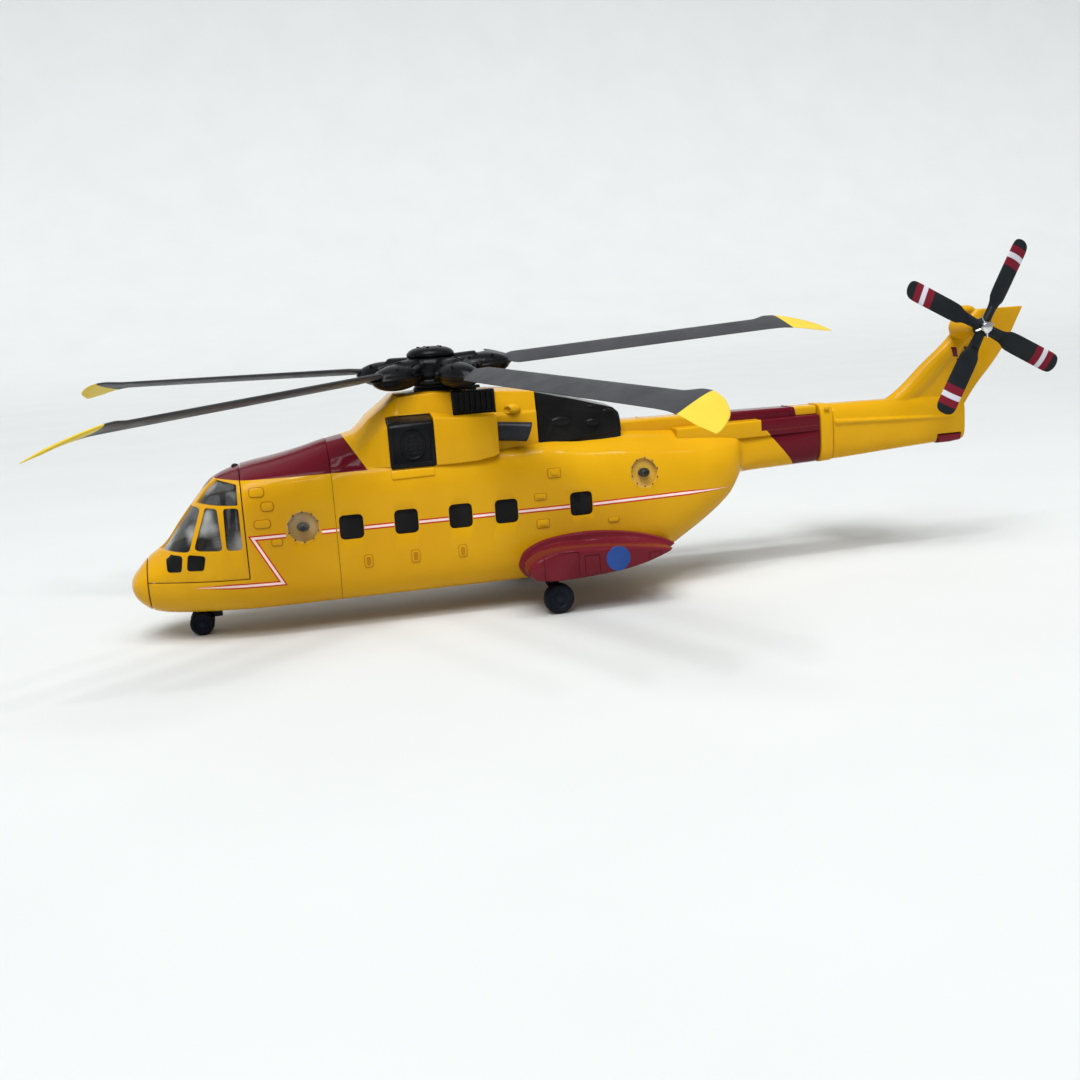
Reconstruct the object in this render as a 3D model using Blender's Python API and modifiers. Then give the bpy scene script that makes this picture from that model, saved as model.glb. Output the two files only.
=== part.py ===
"""Helicopter scale model, 1:72: a three-engine rescue helicopter on its wheels.

Lengths are in millimetres, and MM turns them into Blender's metres. X points to the nose,
Y to port and Z up. A station is a distance along X from the main rotor's axis, positive
towards the nose. The origin is at the middle of the footprint, on the ground.
"""

import math

import bmesh
import bpy
import numpy as np
from mathutils import Euler, Matrix, Vector

MM = 0.001

# Driving dimensions.
ROTOR_X = 43.0
WALL = 1.2
GAP = 0.3
ROTOR_RADIUS = 122.3
ROTOR_HEIGHT = 67.9
TAIL_ROTOR_RADIUS = 27.6
TAIL_ROTOR_HUB = (-162.4, 15.0, 68.2)
MAIN_WHEEL = (-26.4, 25.4)
MAIN_WHEEL_RADIUS = 4.2
MAIN_WHEEL_WIDTH = 3.0
NOSE_WHEEL = (69.2, 2.6)
NOSE_WHEEL_RADIUS = 3.3
NOSE_WHEEL_WIDTH = 2.2
WHEEL_SIDES = 20
AXLE_RADIUS = 0.6
BELLY = 7.0
NOSE_TIP = 86.2
NOSE_CAP_SEAM = 81.5
CANOPY_REAR = 54.9
CANOPY_SILL = 17.3
BODY_SEAM = 31.3
COWL_REAR = -26.5
REAR_COWL_END = -51.4
FOLD_FRONT = -114.4
FOLD_REAR = -118.6
TAIL_END = -164.4
WINDOW_STATIONS = (27.3, 12.6, -2.2, -14.9, -36.1)
WINDOW_HEIGHT = 28.5
WINDOW_SIZE = (6.4, 6.6)
BUBBLE_RADIUS = 4.5
BUBBLES = {"front": (39.9, 29.8), "rear": (-55.4, 35.2)}
SCREW_STATIONS = (("front", 20.0), ("rear", -40.0))
SCREW_Y = 6.0
SCREW_RADIUS = 1.3

# Profiles of the body, as (station, value) points with a smooth curve through them.
KEEL = (
    (TAIL_END, 33.9), (-143, 32.8), (-120, 31.5), (-100, 30.8), (-89.6, 30.4), (-87.7, 29.5),
    (-83.3, 23.5), (-66, 11.4), (-61, 8.4), (-55, BELLY), (66, BELLY), (72, 7.1), (77, 7.5),
    (NOSE_CAP_SEAM, 8.6), (84, 10.3), (85.5, 12.0), (NOSE_TIP, 13.6),
)
SIDE = (
    (TAIL_END, 2.7), (-143, 3.7), (-120, 5.2), (-100, 6.4), (-89.4, 7.1), (-88, 8.0), (-86.6, 10.0),
    (-84, 12.0), (-79, 13.8), (-72, 15.2), (-65, 16.0), (-50, 17.6), (-36, 18.6), (45, 18.6),
    (55, 18.2), (62, 17.0), (70, 14.4), (77, 11.2), (NOSE_CAP_SEAM, 9.0), (84, 7.2), (85.5, 5.2),
    (NOSE_TIP, 3.2),
)
WAIST = (
    (TAIL_END, 40.5), (-120, 40), (-100, 37.5), (-88, 34.6), (-70, 29.6), (-50, 25), (50, 24),
    (70, 19.0), (NOSE_TIP, 15.3),
)
DECK = (
    (TAIL_END, 42.8), (-112, 43), (-100, 43.4), (-84, 44.4), (-64, 45.6), (-51, 46.2),
    (-30, 46.2), (0, 45.8), (31, 45.6), (54.9, 44.6), (60, 42), (66, 36), (72, 30.2),
    (76.6, 25.0), (NOSE_CAP_SEAM, 21.7), (84, 19.4), (85.5, 17.8), (NOSE_TIP, 16.6),
)
ROOF = (
    (23.5, 52.5), (31.3, 50.9), (38.1, 49.1), (45, 47.6), (54.9, 45.8), (62.3, 43), (67.1, 38),
    (72, 32.1), (76.6, 26.3), (NOSE_CAP_SEAM, 22.7), (84, 20.1), (85.5, 18.3), (NOSE_TIP, 17.0),
)
SQUARENESS = (
    (TAIL_END, 2.8), (-112, 2.8), (-68, 2.7), (-50, 3.2), (-30, 4), (50, 4), (60, 3.4), (75, 2.5),
    (NOSE_TIP, 2.1),
)
UPPER_SQUARENESS = (
    (TAIL_END, 2.8), (-112, 2.8), (-90, 2.6), (-84, 2.1), (-68, 2.4), (-50, 3.2), (-38, 3.8),
    (-27, 6.0), (50, 6.0), (60, 4.0), (75, 2.5), (NOSE_TIP, 2.1),
)
SHOULDER = 0.83
ROOF_POWER = 2.2
FLAT_KEEL = 0.27

# Stations where the body's sections stand.
NOSE_STATIONS = (NOSE_TIP, 85.5, 84.2, NOSE_CAP_SEAM + GAP / 2)
COCKPIT_STATIONS = (NOSE_CAP_SEAM - GAP / 2, 78.6, 75.4, 72, 68.6, 65, 61.4, 58)
CABIN_STATIONS = (
    BODY_SEAM - GAP / 2, -27, -30, -34, -38, -42, -47, -52, -58, -64, -72, -80, -84.5, -86.8, -88.4,
    -92,
)

# Engine cowl sections: station, then half widths and heights from the lower lip to the top.
COWL_SECTIONS = (
    (BODY_SEAM - GAP / 2, (15.0, 43.6), (15.4, 44.0), (12.9, 46.2), (9.6, 48.6), (6.0, 50.3), 50.9),
    (27.4, (15.0, 43.5), (15.5, 43.9), (13.2, 46.9), (10.1, 49.3), (6.5, 51.0), 51.6),
    (23.5, (15.0, 43.3), (15.8, 43.7), (13.6, 47.6), (10.6, 50.0), (7.0, 51.9), 52.5),
    (21.2, (15.0, 43.1), (16.2, 43.5), (14.2, 49.4), (10.9, 51.8), (7.5, 53.8), 54.4),
    (19.0, (15.0, 42.9), (16.6, 43.3), (15.0, 51.0), (11.2, 54.0), (8.2, 56.0), 56.6),
    (15.6, (15.0, 42.8), (17.2, 43.1), (16.4, 53.6), (11.5, 56.2), (9.2, 58.3), 59.0),
    (11.5, (15.0, 42.7), (17.5, 43.0), (16.8, 54.4), (11.8, 56.4), (10.6, 61.2), 61.9),
    (2.4, (15.0, 42.4), (17.9, 42.7), (17.3, 55.4), (12.0, 56.2), (11.0, 61.6), 62.3),
    (-2.8, (15.0, 42.4), (18.4, 42.8), (17.9, 55.0), (12.1, 55.4), (11.1, 61.5), 62.1),
    (-8.0, (15.0, 42.6), (18.6, 43.0), (18.1, 54.8), (12.2, 55.1), (11.2, 61.2), 61.8),
    (-12.6, (14.8, 43.4), (18.7, 43.8), (18.2, 54.6), (12.3, 55.0), (11.2, 60.8), 61.4),
    (-14.2, (14.4, 43.8), (18.2, 44.3), (17.7, 54.2), (12.4, 55.0), (11.2, 60.8), 61.4),
    (-14.8, (14.4, 43.4), (14.8, 44.0), (13.4, 54.2), (12.4, 55.0), (11.2, 60.8), 61.4),
    (COWL_REAR + GAP / 2, (12.8, 44.6), (13.2, 45.2), (12.7, 54.2), (12.3, 55.0), (11.3, 59.9), 60.6),
)
REAR_COWL_SECTIONS = (
    (COWL_REAR - GAP / 2, (12.5, 44.4), (12.9, 44.8), (12.4, 55.4), (11.1, 59.6), 60.4),
    (-38.0, (11.6, 45.4), (12.0, 45.8), (11.4, 53.6), (9.9, 56.7), 57.4),
    (-45.0, (10.5, 46.0), (10.9, 46.4), (10.2, 52.3), (8.9, 54.7), 55.3),
    (-49.6, (9.6, 46.4), (10.0, 46.8), (9.3, 51.4), (8.1, 53.4), 53.9),
    (REAR_COWL_END, (9.0, 46.5), (9.4, 46.9), (8.7, 50.2), (7.5, 51.8), 52.2),
)

# Tail fin: height, leading edge station, trailing edge station, half thickness.
FIN_SECTIONS = (
    (44.0, -128.0, -164.2, 2.7),
    (49.1, -140.3, -168.6, 2.4),
    (57.5, -150.5, -176.0, 2.1),
    (64.5, -159.0, -181.0, 2.0),
    (68.0, -162.2, -182.8, 2.1),
    (73.2, -168.2, -185.5, 2.0),
)

# Main blade: radius, and how far its leading and trailing edges lie from the pitch axis.
TIP_START = 105.5
BLADE_SECTIONS = (
    (17.6, 1.7, -1.7),
    (22.0, 1.8, -1.8),
    (25.6, 4.3, -4.7),
    (101.0, 4.4, -5.0),
    (TIP_START, 6.2, -5.2),
    (112.0, 5.2, -6.0),
    (118.0, 1.4, -7.0),
    (ROTOR_RADIUS, -3.6, -7.0),
)
BLADE_THICKNESS = 1.4
BLADE_TAPER = 0.4
TIP_ANHEDRAL = 2.6
TIP_CURVE = 1.5

# How each blade of this model sits: the first blade's turn past straight aft, then each
# blade's droop at its tip, its swing from even spacing and its pitch.
ROTOR_PHASE = -3.6
BLADE_DROOP = (-6.4, 7.2, 5.4, 0.9, 1.2)
BLADE_SWING = (0.0, 0.0, 0.0, 0.0, -7.4)
BLADE_PITCH = (18.0, 18.0, 17.0, 12.0, 15.0)

# Tail rotor blade: radius and half chord.
TAIL_BLADE_SECTIONS = (
    (1.8, 1.4), (6.0, 1.7), (9.4, 2.8), (24.6, 3.0), (26.8, 2.5), (TAIL_ROTOR_RADIUS, 0.9),
)
TAIL_BLADE_THICKNESS = 1.1
TAIL_BLADE_SHAPE = (
    (1, 0), (0.5, 0.5), (-0.3, 0.4), (-1, 0.1), (-1, -0.1), (-0.3, -0.4), (0.5, -0.5),
)
TAIL_BLADE_PHASE = 61.8
TAIL_BLADE_PITCH = 12.0

# Sponson: its side outline at the body, and how it shrinks about its middle going outward.
SPONSON_OUTLINE = (
    (-17.6, 11.4), (-17.6, 14.2), (-19.4, 17.2), (-24.6, 19.6), (-32.0, 20.6), (-41.0, 20.6),
    (-52.0, 18.9), (-61.4, 15.6), (-61.0, 14.2), (-50.0, 10.9), (-37.0, 9.4), (-26.0, 9.0),
    (-19.6, 9.6),
)
SPONSON_MIDDLE = (-37.0, 12.4)
SPONSON_TAPER = (
    (12.0, 1.0, 1.0),
    (19.6, 1.0, 1.0),
    (21.0, 0.97, 0.9),
    (29.6, 0.93, 0.8),
    (31.0, 0.87, 0.62),
)


def point(station, y, z):
    """A place on the model, in metres."""
    return Vector((station + ROTOR_X, y, z)) * MM


def along(profile, station):
    """The profile's value at a station: a cubic curve that never swings past its points."""
    xs = np.array([p[0] for p in profile], float)
    ys = np.array([p[1] for p in profile], float)
    slopes = np.diff(ys) / np.diff(xs)
    tangents = np.zeros(len(xs))
    tangents[0] = slopes[0]
    tangents[-1] = slopes[-1]
    for i in range(1, len(xs) - 1):
        before, after = slopes[i - 1], slopes[i]
        if before * after > 0:
            tangents[i] = 2 * before * after / (before + after)
    x = min(max(station, xs[0]), xs[-1])
    i = min(int(np.searchsorted(xs, x, side="right")) - 1, len(xs) - 2)
    width = xs[i + 1] - xs[i]
    t = (x - xs[i]) / width
    value = ys[i] * (1 + 2 * t) * (1 - t) ** 2 + tangents[i] * width * t * (1 - t) ** 2
    value += ys[i + 1] * t * t * (3 - 2 * t) + tangents[i + 1] * width * t * t * (t - 1)
    return float(value)


# Blender objects.

def clear_scene():
    for obj in list(bpy.data.objects):
        bpy.data.objects.remove(obj, do_unlink=True)


def make_collection(name):
    collection = bpy.data.collections.new(name)
    bpy.context.scene.collection.children.link(collection)
    return collection


def make_material(name, color, roughness, metallic=0.0, alpha=1.0):
    material = bpy.data.materials.new(name)
    material.use_nodes = True
    shader = material.node_tree.nodes["Principled BSDF"]
    shader.inputs["Base Color"].default_value = (*color, 1.0)
    shader.inputs["Roughness"].default_value = roughness
    shader.inputs["Metallic"].default_value = metallic
    shader.inputs["Alpha"].default_value = alpha
    return material


def add_object(name, bm, collection, material=None, outward=True):
    """Turns a bmesh into an object. outward leaves an open sheet's facing alone when False."""
    if outward:
        bmesh.ops.recalc_face_normals(bm, faces=bm.faces)
    mesh = bpy.data.meshes.new(name)
    bm.to_mesh(mesh)
    bm.free()
    if material:
        mesh.materials.append(material)
    obj = bpy.data.objects.new(name, mesh)
    collection.objects.link(obj)
    return obj


def add_part(name, bm, material, smooth=35.0, outward=True):
    obj = add_object(name, bm, PARTS, material, outward)
    obj.data.shade_smooth()
    obj.data.set_sharp_from_angle(angle=math.radians(smooth))
    return obj


def add_cutter(name, bm):
    obj = add_object(name, bm, CUTTERS)
    obj.hide_render = True
    obj.display_type = "WIRE"
    return obj


def boolean(obj, other, operation="DIFFERENCE"):
    modifier = obj.modifiers.new(other.name, "BOOLEAN")
    modifier.operation = operation
    modifier.solver = "EXACT"
    modifier.object = other


def bevel(obj, width, segments=1, angle=40.0):
    modifier = obj.modifiers.new("edges", "BEVEL")
    modifier.width = width * MM
    modifier.segments = segments
    modifier.limit_method = "ANGLE"
    modifier.angle_limit = math.radians(angle)


def thicken(obj, thickness):
    modifier = obj.modifiers.new("wall", "SOLIDIFY")
    modifier.thickness = thickness * MM
    modifier.offset = -1.0
    modifier.use_even_offset = True


def axis_empty(name, location, direction=(0, 0, 1)):
    """An empty on a joint's axis, its own Z along the axis."""
    empty = bpy.data.objects.new(name, None)
    empty.location = location
    empty.rotation_euler = Vector((0, 0, 1)).rotation_difference(Vector(direction)).to_euler()
    empty.empty_display_size = 4 * MM
    PARTS.objects.link(empty)
    return empty


def hang(obj, empty):
    """Parents a piece modelled in place to an empty, and moves its origin to it."""
    bpy.context.view_layer.update()
    obj.data.transform(empty.matrix_world.inverted())
    obj.parent = empty


# Mesh shapes.

def box_mesh(low, high):
    """A box between two corners, each (station, y, z)."""
    low, high = point(*low), point(*high)
    bm = bmesh.new()
    bmesh.ops.create_cube(bm, size=1.0)
    bmesh.ops.scale(bm, vec=high - low, verts=bm.verts)
    bmesh.ops.translate(bm, vec=(low + high) / 2, verts=bm.verts)
    return bm


def rod_mesh(start, end, radius, end_radius=None, sides=16):
    """A cylinder or cone from start to end, each a Vector in metres."""
    bm = bmesh.new()
    bmesh.ops.create_cone(
        bm,
        cap_ends=True,
        segments=sides,
        radius1=radius * MM,
        radius2=(radius if end_radius is None else end_radius) * MM,
        depth=(end - start).length,
    )
    turn = Vector((0, 0, 1)).rotation_difference(end - start).to_matrix().to_4x4()
    bmesh.ops.transform(bm, matrix=Matrix.Translation((start + end) / 2) @ turn, verts=bm.verts)
    return bm


def prism_mesh(outline, y_start, y_end):
    """A side outline of (station, z) points, extruded from y_start to y_end."""
    bm = bmesh.new()
    face = bm.faces.new([bm.verts.new(point(x, y_start, z)) for x, z in outline])
    grown = bmesh.ops.extrude_face_region(bm, geom=[face])
    moved = [item for item in grown["geom"] if isinstance(item, bmesh.types.BMVert)]
    bmesh.ops.translate(bm, vec=(0, (y_end - y_start) * MM, 0), verts=moved)
    return bm


def rounded_rectangle(x, z, width, height, radius, steps=3):
    """The (station, z) outline of an upright window."""
    outline = []
    for corner in range(4):
        side_x = 1 if corner in (0, 3) else -1
        side_z = 1 if corner in (0, 1) else -1
        for step in range(steps + 1):
            angle = math.radians(90 * corner + 90 * step / steps)
            outline.append((
                x + side_x * (width / 2 - radius) + radius * math.cos(angle),
                z + side_z * (height / 2 - radius) + radius * math.sin(angle),
            ))
    return outline


def loft_mesh(rings, closed=True, caps=True, grow=0.0):
    """Joins rings of points with a skin, moves it out by grow millimetres and caps it."""
    bm = bmesh.new()
    loops = [[bm.verts.new(p) for p in ring] for ring in rings]
    for first, second in zip(loops, loops[1:]):
        count = len(first)
        for i in range(count if closed else count - 1):
            j = (i + 1) % count
            bm.faces.new((first[i], first[j], second[j], second[i]))
    if closed:
        ends = bmesh.ops.holes_fill(bm, edges=bm.edges, sides=0)["faces"]
        bmesh.ops.recalc_face_normals(bm, faces=bm.faces)
        if grow or not caps:
            bmesh.ops.delete(bm, geom=ends, context="FACES_ONLY")
    bm.normal_update()
    for vert in bm.verts:
        vert.co += vert.normal * grow * MM
    if closed and caps and grow:
        bmesh.ops.holes_fill(bm, edges=bm.edges, sides=0)
    return bm


# Body sections.

def half_section(station, roof, centre=0.0, lower_steps=7, upper_steps=3):
    """(y, z) points up the port side, from the keel to the top. roof adds the cabin's hump."""
    keel = along(KEEL, station)
    side = along(SIDE, station)
    waist = along(WAIST, station)
    deck = along(DECK, station)
    lower_power = along(SQUARENESS, station)
    power = along(UPPER_SQUARENESS, station)
    shoulder = side * SHOULDER
    top_angle = math.acos(SHOULDER ** (power / 2))
    points = [(centre, keel), (side * FLAT_KEEL, keel)]
    for step in range(1, lower_steps + 1):
        angle = -math.pi / 2 + (top_angle + math.pi / 2) * (0.12 + 0.88 * step / lower_steps)
        reach = (waist - keel) if angle < 0 else (deck - waist)
        bend = 2 / (lower_power if angle < 0 else power)
        y = side * math.cos(angle) ** bend
        z = waist + reach * math.copysign(abs(math.sin(angle)) ** bend, angle)
        points.append((y, z))
    crease = points[-1][1]
    top = along(ROOF, station) if roof else deck
    rise = ROOF_POWER if roof else power
    for step in range(1, upper_steps + 1):
        share = 1 - step / upper_steps
        y = max(shoulder * share, centre)
        points.append((y, crease + (top - crease) * (1 - share ** rise)))
    return points


def ring(station, roof):
    """The body's whole section as a closed loop of places."""
    half = half_section(station, roof)
    loop = [point(station, y, z) for y, z in half]
    loop += [point(station, -y, z) for y, z in half[-2:0:-1]]
    return loop


def side_of_body(station, z):
    """The half width of the body at a height."""
    waist = along(WAIST, station)
    reach = (waist - along(KEEL, station)) if z < waist else (along(DECK, station) - waist)
    power = along(SQUARENESS if z < waist else UPPER_SQUARENESS, station)
    return along(SIDE, station) * (1 - abs((z - waist) / reach) ** power) ** (1 / power)


def body_solid(stations, roof, grow=0.0):
    return loft_mesh([ring(x, roof) for x in stations], grow=grow)


def half_shell_mesh(stations, side):
    """The open skin of one side of the cabin and boom, facing out."""
    rings = []
    for station in stations:
        half = half_section(station, roof=False, centre=GAP / 2)
        rings.append([point(station, side * y, z) for y, z in half][:: -side])
    return loft_mesh(rings, closed=False)


def both_sides():
    return (("left", 1), ("right", -1))


# Front body.

def make_nose():
    rings = [ring(x, roof=True) for x in NOSE_STATIONS]
    cap = add_part("nose_cap", loft_mesh(rings), YELLOW)
    return cap


def front_shell(name):
    """The tube of the front body, one wall thick."""
    stations = COCKPIT_STATIONS + (CANOPY_REAR, 45, 38, BODY_SEAM + GAP / 2)
    sheet = loft_mesh([ring(x, roof=True) for x in stations], caps=False)
    shell = add_part(name, sheet, YELLOW)
    thicken(shell, WALL)
    return shell


def canopy_zone(name, gap):
    """The space of the cockpit module: ahead of its rear joint and above its sill."""
    low = (CANOPY_REAR + gap, -30, CANOPY_SILL + gap)
    return add_cutter(name, box_mesh(low, (NOSE_TIP + 5, 30, 70)))


def make_front_body():
    shell = front_shell("front_fuselage")
    boolean(shell, canopy_zone("canopy_gap", -GAP / 2))
    x = NOSE_WHEEL[0]
    leg_hole = add_cutter("nose_leg_hole", rod_mesh(point(x, 0, 4), point(x, 0, 12), 1.5))
    boolean(shell, leg_hole)
    return shell


def canopy_openings():
    """Cutters of the cockpit's windows, in pairs: upper pane, windscreen and two side panes."""
    outlines = {
        "upper": ((61.4, 42.0), (66.0, 37.9), (56.2, 37.5), (56.2, 41.4)),
        "front": ((65.4, 35.8), (68.7, 25.3), (84.0, 25.3), (84.0, 35.8)),
        "side": ((63.0, 36.2), (67.4, 26.0), (60.6, 25.6), (59.8, 36.2)),
        "rear": ((58.4, 36.2), (59.4, 25.6), (56.2, 25.5), (56.2, 36.2)),
    }
    inner = {"upper": 6.0, "front": 0.7, "side": 10.0, "rear": 10.0}
    cutters = []
    for name, outline in outlines.items():
        for side_name, side in both_sides():
            prism = prism_mesh(outline, side * inner[name], side * 24.0)
            cutters.append(add_cutter(f"{name}_pane_{side_name}", prism))
    return cutters


def make_canopy():
    canopy = front_shell("cockpit_canopy")
    boolean(canopy, canopy_zone("canopy_space", GAP / 2), "INTERSECT")
    for cutter in canopy_openings():
        boolean(canopy, cutter)
    stations = (77.0, 74, 71, 68, 65, 61.4, 58, CANOPY_REAR + 0.8)
    sheet = loft_mesh([ring(x, roof=True) for x in stations], caps=False, grow=-WALL - 0.35)
    glazing = add_part("cockpit_glazing", sheet, GLASS)
    thicken(glazing, 0.7)
    low = (CANOPY_REAR, -30, 23.6)
    boolean(glazing, add_cutter("glazing_space", box_mesh(low, (NOSE_TIP, 30, 60))), "INTERSECT")


def make_cockpit():
    stations = (77.0, 72, 68, 65, 61.4, 58, CANOPY_REAR + 0.6)
    tub = add_part("cockpit_tub", body_solid(stations, roof=True, grow=-WALL - 1.5), BLACK)
    low = (CANOPY_REAR, -30, 18.2)
    tub_space = add_cutter("tub_space", box_mesh(low, (74.0, 30, 60)))
    boolean(tub, tub_space, "INTERSECT")
    cabin_air = add_cutter("cabin_air", box_mesh((56.9, -30, 19.4), (NOSE_TIP, 30, 60)))
    boolean(tub, cabin_air)
    seat = ((57.6, 31.5), (59.0, 31.5), (60.4, 22.8), (66.0, 22.8), (66.0, 19.8), (58.4, 19.8))
    for side_name, side in both_sides():
        mesh = prism_mesh(seat, side * 2.6, side * 8.6)
        bevel(add_part(f"pilot_seat_{side_name}", mesh, BLACK), 0.5, 2)
    panel = ((69.0, 19.8), (73.0, 19.8), (72.0, 25.4), (70.2, 25.6))
    bevel(add_part("instrument_panel", prism_mesh(panel, -7.0, 7.0), BLACK), 0.4)


# Cabin, windows and boom.

def window_outline(station, spare):
    width, height = WINDOW_SIZE
    return rounded_rectangle(station, WINDOW_HEIGHT, width + spare, height + spare, 1.2)


def make_cabin():
    stations = CABIN_STATIONS + (FOLD_FRONT + GAP / 2,)
    for side_name, side in both_sides():
        sheet = half_shell_mesh(stations, side)
        shell = add_part(f"fuselage_{side_name}", sheet, YELLOW, outward=False)
        thicken(shell, WALL)
        for number, station in enumerate(WINDOW_STATIONS, 1):
            outline = window_outline(station, 0.0)
            hole = prism_mesh(outline, side * 15.0, side * 22.0)
            boolean(shell, add_cutter(f"window_{number}_{side_name}", hole))
        for place in ("front", "rear"):
            make_bubble(shell, place, side_name, side)
        for place, x in SCREW_STATIONS:
            start, end = point(x, side * SCREW_Y, 5), point(x, side * SCREW_Y, 10)
            hole = rod_mesh(start, end, SCREW_RADIUS + 0.2, sides=12)
            boolean(shell, add_cutter(f"screw_hole_{place}_{side_name}", hole))
        make_window_strip(side_name, side)


def make_window_strip(side_name, side):
    """The dark strip behind the wall, with one raised pane for each window."""
    outer, inner = 16.8, 15.9
    rear, front = WINDOW_STATIONS[-1] - 4.6, WINDOW_STATIONS[0] + 3.5
    corners = sorted((side * inner, side * outer))
    strip_mesh = box_mesh((rear, corners[0], 23.6), (front, corners[1], 33.4))
    strip = add_part(f"window_strip_{side_name}", strip_mesh, BLACK)
    for number, station in enumerate(WINDOW_STATIONS, 1):
        outline = window_outline(station, -0.5)
        pane = prism_mesh(outline, side * (inner + 0.3), side * 18.45)
        boolean(strip, add_cutter(f"pane_{number}_{side_name}", pane), "UNION")


def make_bubble(shell, place, side_name, side):
    """A clear bubble window let into the body's side, square to it."""
    station, z = BUBBLES[place]
    if place == "front":
        shell = bpy.data.objects["front_fuselage"]
    y = side_of_body(station, z)
    step = 0.5
    ahead = (side_of_body(station + step, z) - side_of_body(station - step, z)) / (2 * step)
    above = (side_of_body(station, z + step) - side_of_body(station, z - step)) / (2 * step)
    normal = Vector((-ahead, side, -above)).normalized()
    normal.y = side * abs(normal.y)
    centre = point(station, side * y, z)
    hole = rod_mesh(centre - normal * 4 * MM, centre + normal * 4 * MM, BUBBLE_RADIUS + 0.2, sides=20)
    boolean(shell, add_cutter(f"bubble_hole_{place}_{side_name}", hole))
    profile = (
        (0.0, 1.3), (1.4, 1.15), (2.7, 0.75), (3.5, 0.3), (BUBBLE_RADIUS, 0.3),
        (BUBBLE_RADIUS, -0.9), (3.4, -0.9), (2.6, -0.2), (1.3, 0.2), (0.0, 0.35),
    )
    bubble = turned_part(f"bubble_window_{place}_{side_name}", profile, GLASS, 20)
    bubble.location = centre
    bubble.rotation_euler = Vector((0, 0, 1)).rotation_difference(normal).to_euler()


def turned_part(name, profile, material, steps):
    """A shape turned about Z from (radius, height) points, listed top to bottom."""
    bm = bmesh.new()
    verts = [bm.verts.new((r * MM, 0, z * MM)) for r, z in profile]
    for first, second in zip(verts, verts[1:]):
        bm.edges.new((first, second))
    obj = add_part(name, bm, material, outward=False)
    screw = obj.modifiers.new("turned", "SCREW")
    screw.steps = steps
    screw.render_steps = steps
    screw.use_merge_vertices = True
    screw.merge_threshold = 0.00001
    return obj


def make_floor():
    """The plate inside the cabin that both halves screw to."""
    plate = box_mesh((-46.0, -13.2, 11.6), (30.0, 13.2, 12.8))
    floor = add_part("cabin_floor", plate, GREY)
    for place, x in SCREW_STATIONS:
        for side_name, side in both_sides():
            y = side * SCREW_Y
            boss = rod_mesh(point(x, y, 9.2), point(x, y, 12.0), 2.2, sides=12)
            boolean(floor, add_cutter(f"boss_{place}_{side_name}", boss), "UNION")
            bore = rod_mesh(point(x, y, 6.0), point(x, y, 11.0), 0.85, sides=12)
            boolean(floor, add_cutter(f"boss_bore_{place}_{side_name}", bore))
            screw_mesh = rod_mesh(point(x, y, 7.3), point(x, y, 8.2), SCREW_RADIUS, sides=12)
            screw = add_part(f"belly_screw_{place}_{side_name}", screw_mesh, STEEL)
            shank = rod_mesh(point(x, y, 7.8), point(x, y, 10.7), 0.6, sides=12)
            boolean(screw, add_cutter(f"shank_{place}_{side_name}", shank), "UNION")
            for turn, (dx, dy) in enumerate(((1.0, 0.2), (0.2, 1.0))):
                slot = box_mesh((x - dx, y - dy, 6.5), (x + dx, y + dy, 7.7))
                boolean(screw, add_cutter(f"slot_{turn}_{place}_{side_name}", slot))


# Engine cowls and what is let into them.

def cowl_ring(section, floor=41.0):
    """A cowl's section as a closed loop, its floor inside the body."""
    station, *corners, top = section
    corners = [(corners[0][0], floor), *corners]
    loop = [point(station, y, z) for y, z in corners]
    loop.append(point(station, 0, top))
    loop += [point(station, -y, z) for y, z in reversed(corners)]
    return loop


def cowl_part(name, sections, material):
    """A cowl trimmed to the body under it and hollow above the deck."""
    rings = [cowl_ring(section) for section in sections]
    cowl = add_part(name, loft_mesh(rings), material)
    hollow = add_cutter(f"{name}_hollow", loft_mesh(rings, grow=-WALL))
    boolean(cowl, hollow)
    cut_clear_of_body(cowl)
    return cowl


def cut_clear_of_body(obj):
    """Trims what sits on the body, leaving a hair of space under it."""
    boolean(obj, bpy.data.objects["body_clearance"])


def make_body_clearance():
    stations = CABIN_STATIONS + (FOLD_FRONT,)
    add_cutter("body_clearance", body_solid(stations, roof=False, grow=0.35))


def make_cowls():
    cowl = cowl_part("engine_cowl", COWL_SECTIONS, YELLOW)
    mast_hole = rod_mesh(point(0, 0, 50), point(0, 0, 70), 2.3)
    boolean(cowl, add_cutter("mast_hole", mast_hole))
    for side_name, side in both_sides():
        make_intake(cowl, side_name, side)
        make_grille(cowl, side_name, side)
        make_exhaust(side_name, side)
    cowl_part("rear_cowl", REAR_COWL_SECTIONS, BLACK)


def pocket_box(low, high, side, spare):
    """A box on one side of the model. low and high are (station, distance out, z)."""
    ys = sorted((side * (low[1] - spare), side * (high[1] + spare)))
    corner = (low[0] - spare, ys[0], low[2] - spare)
    return box_mesh(corner, (high[0] + spare, ys[1], high[2] + spare))


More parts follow.
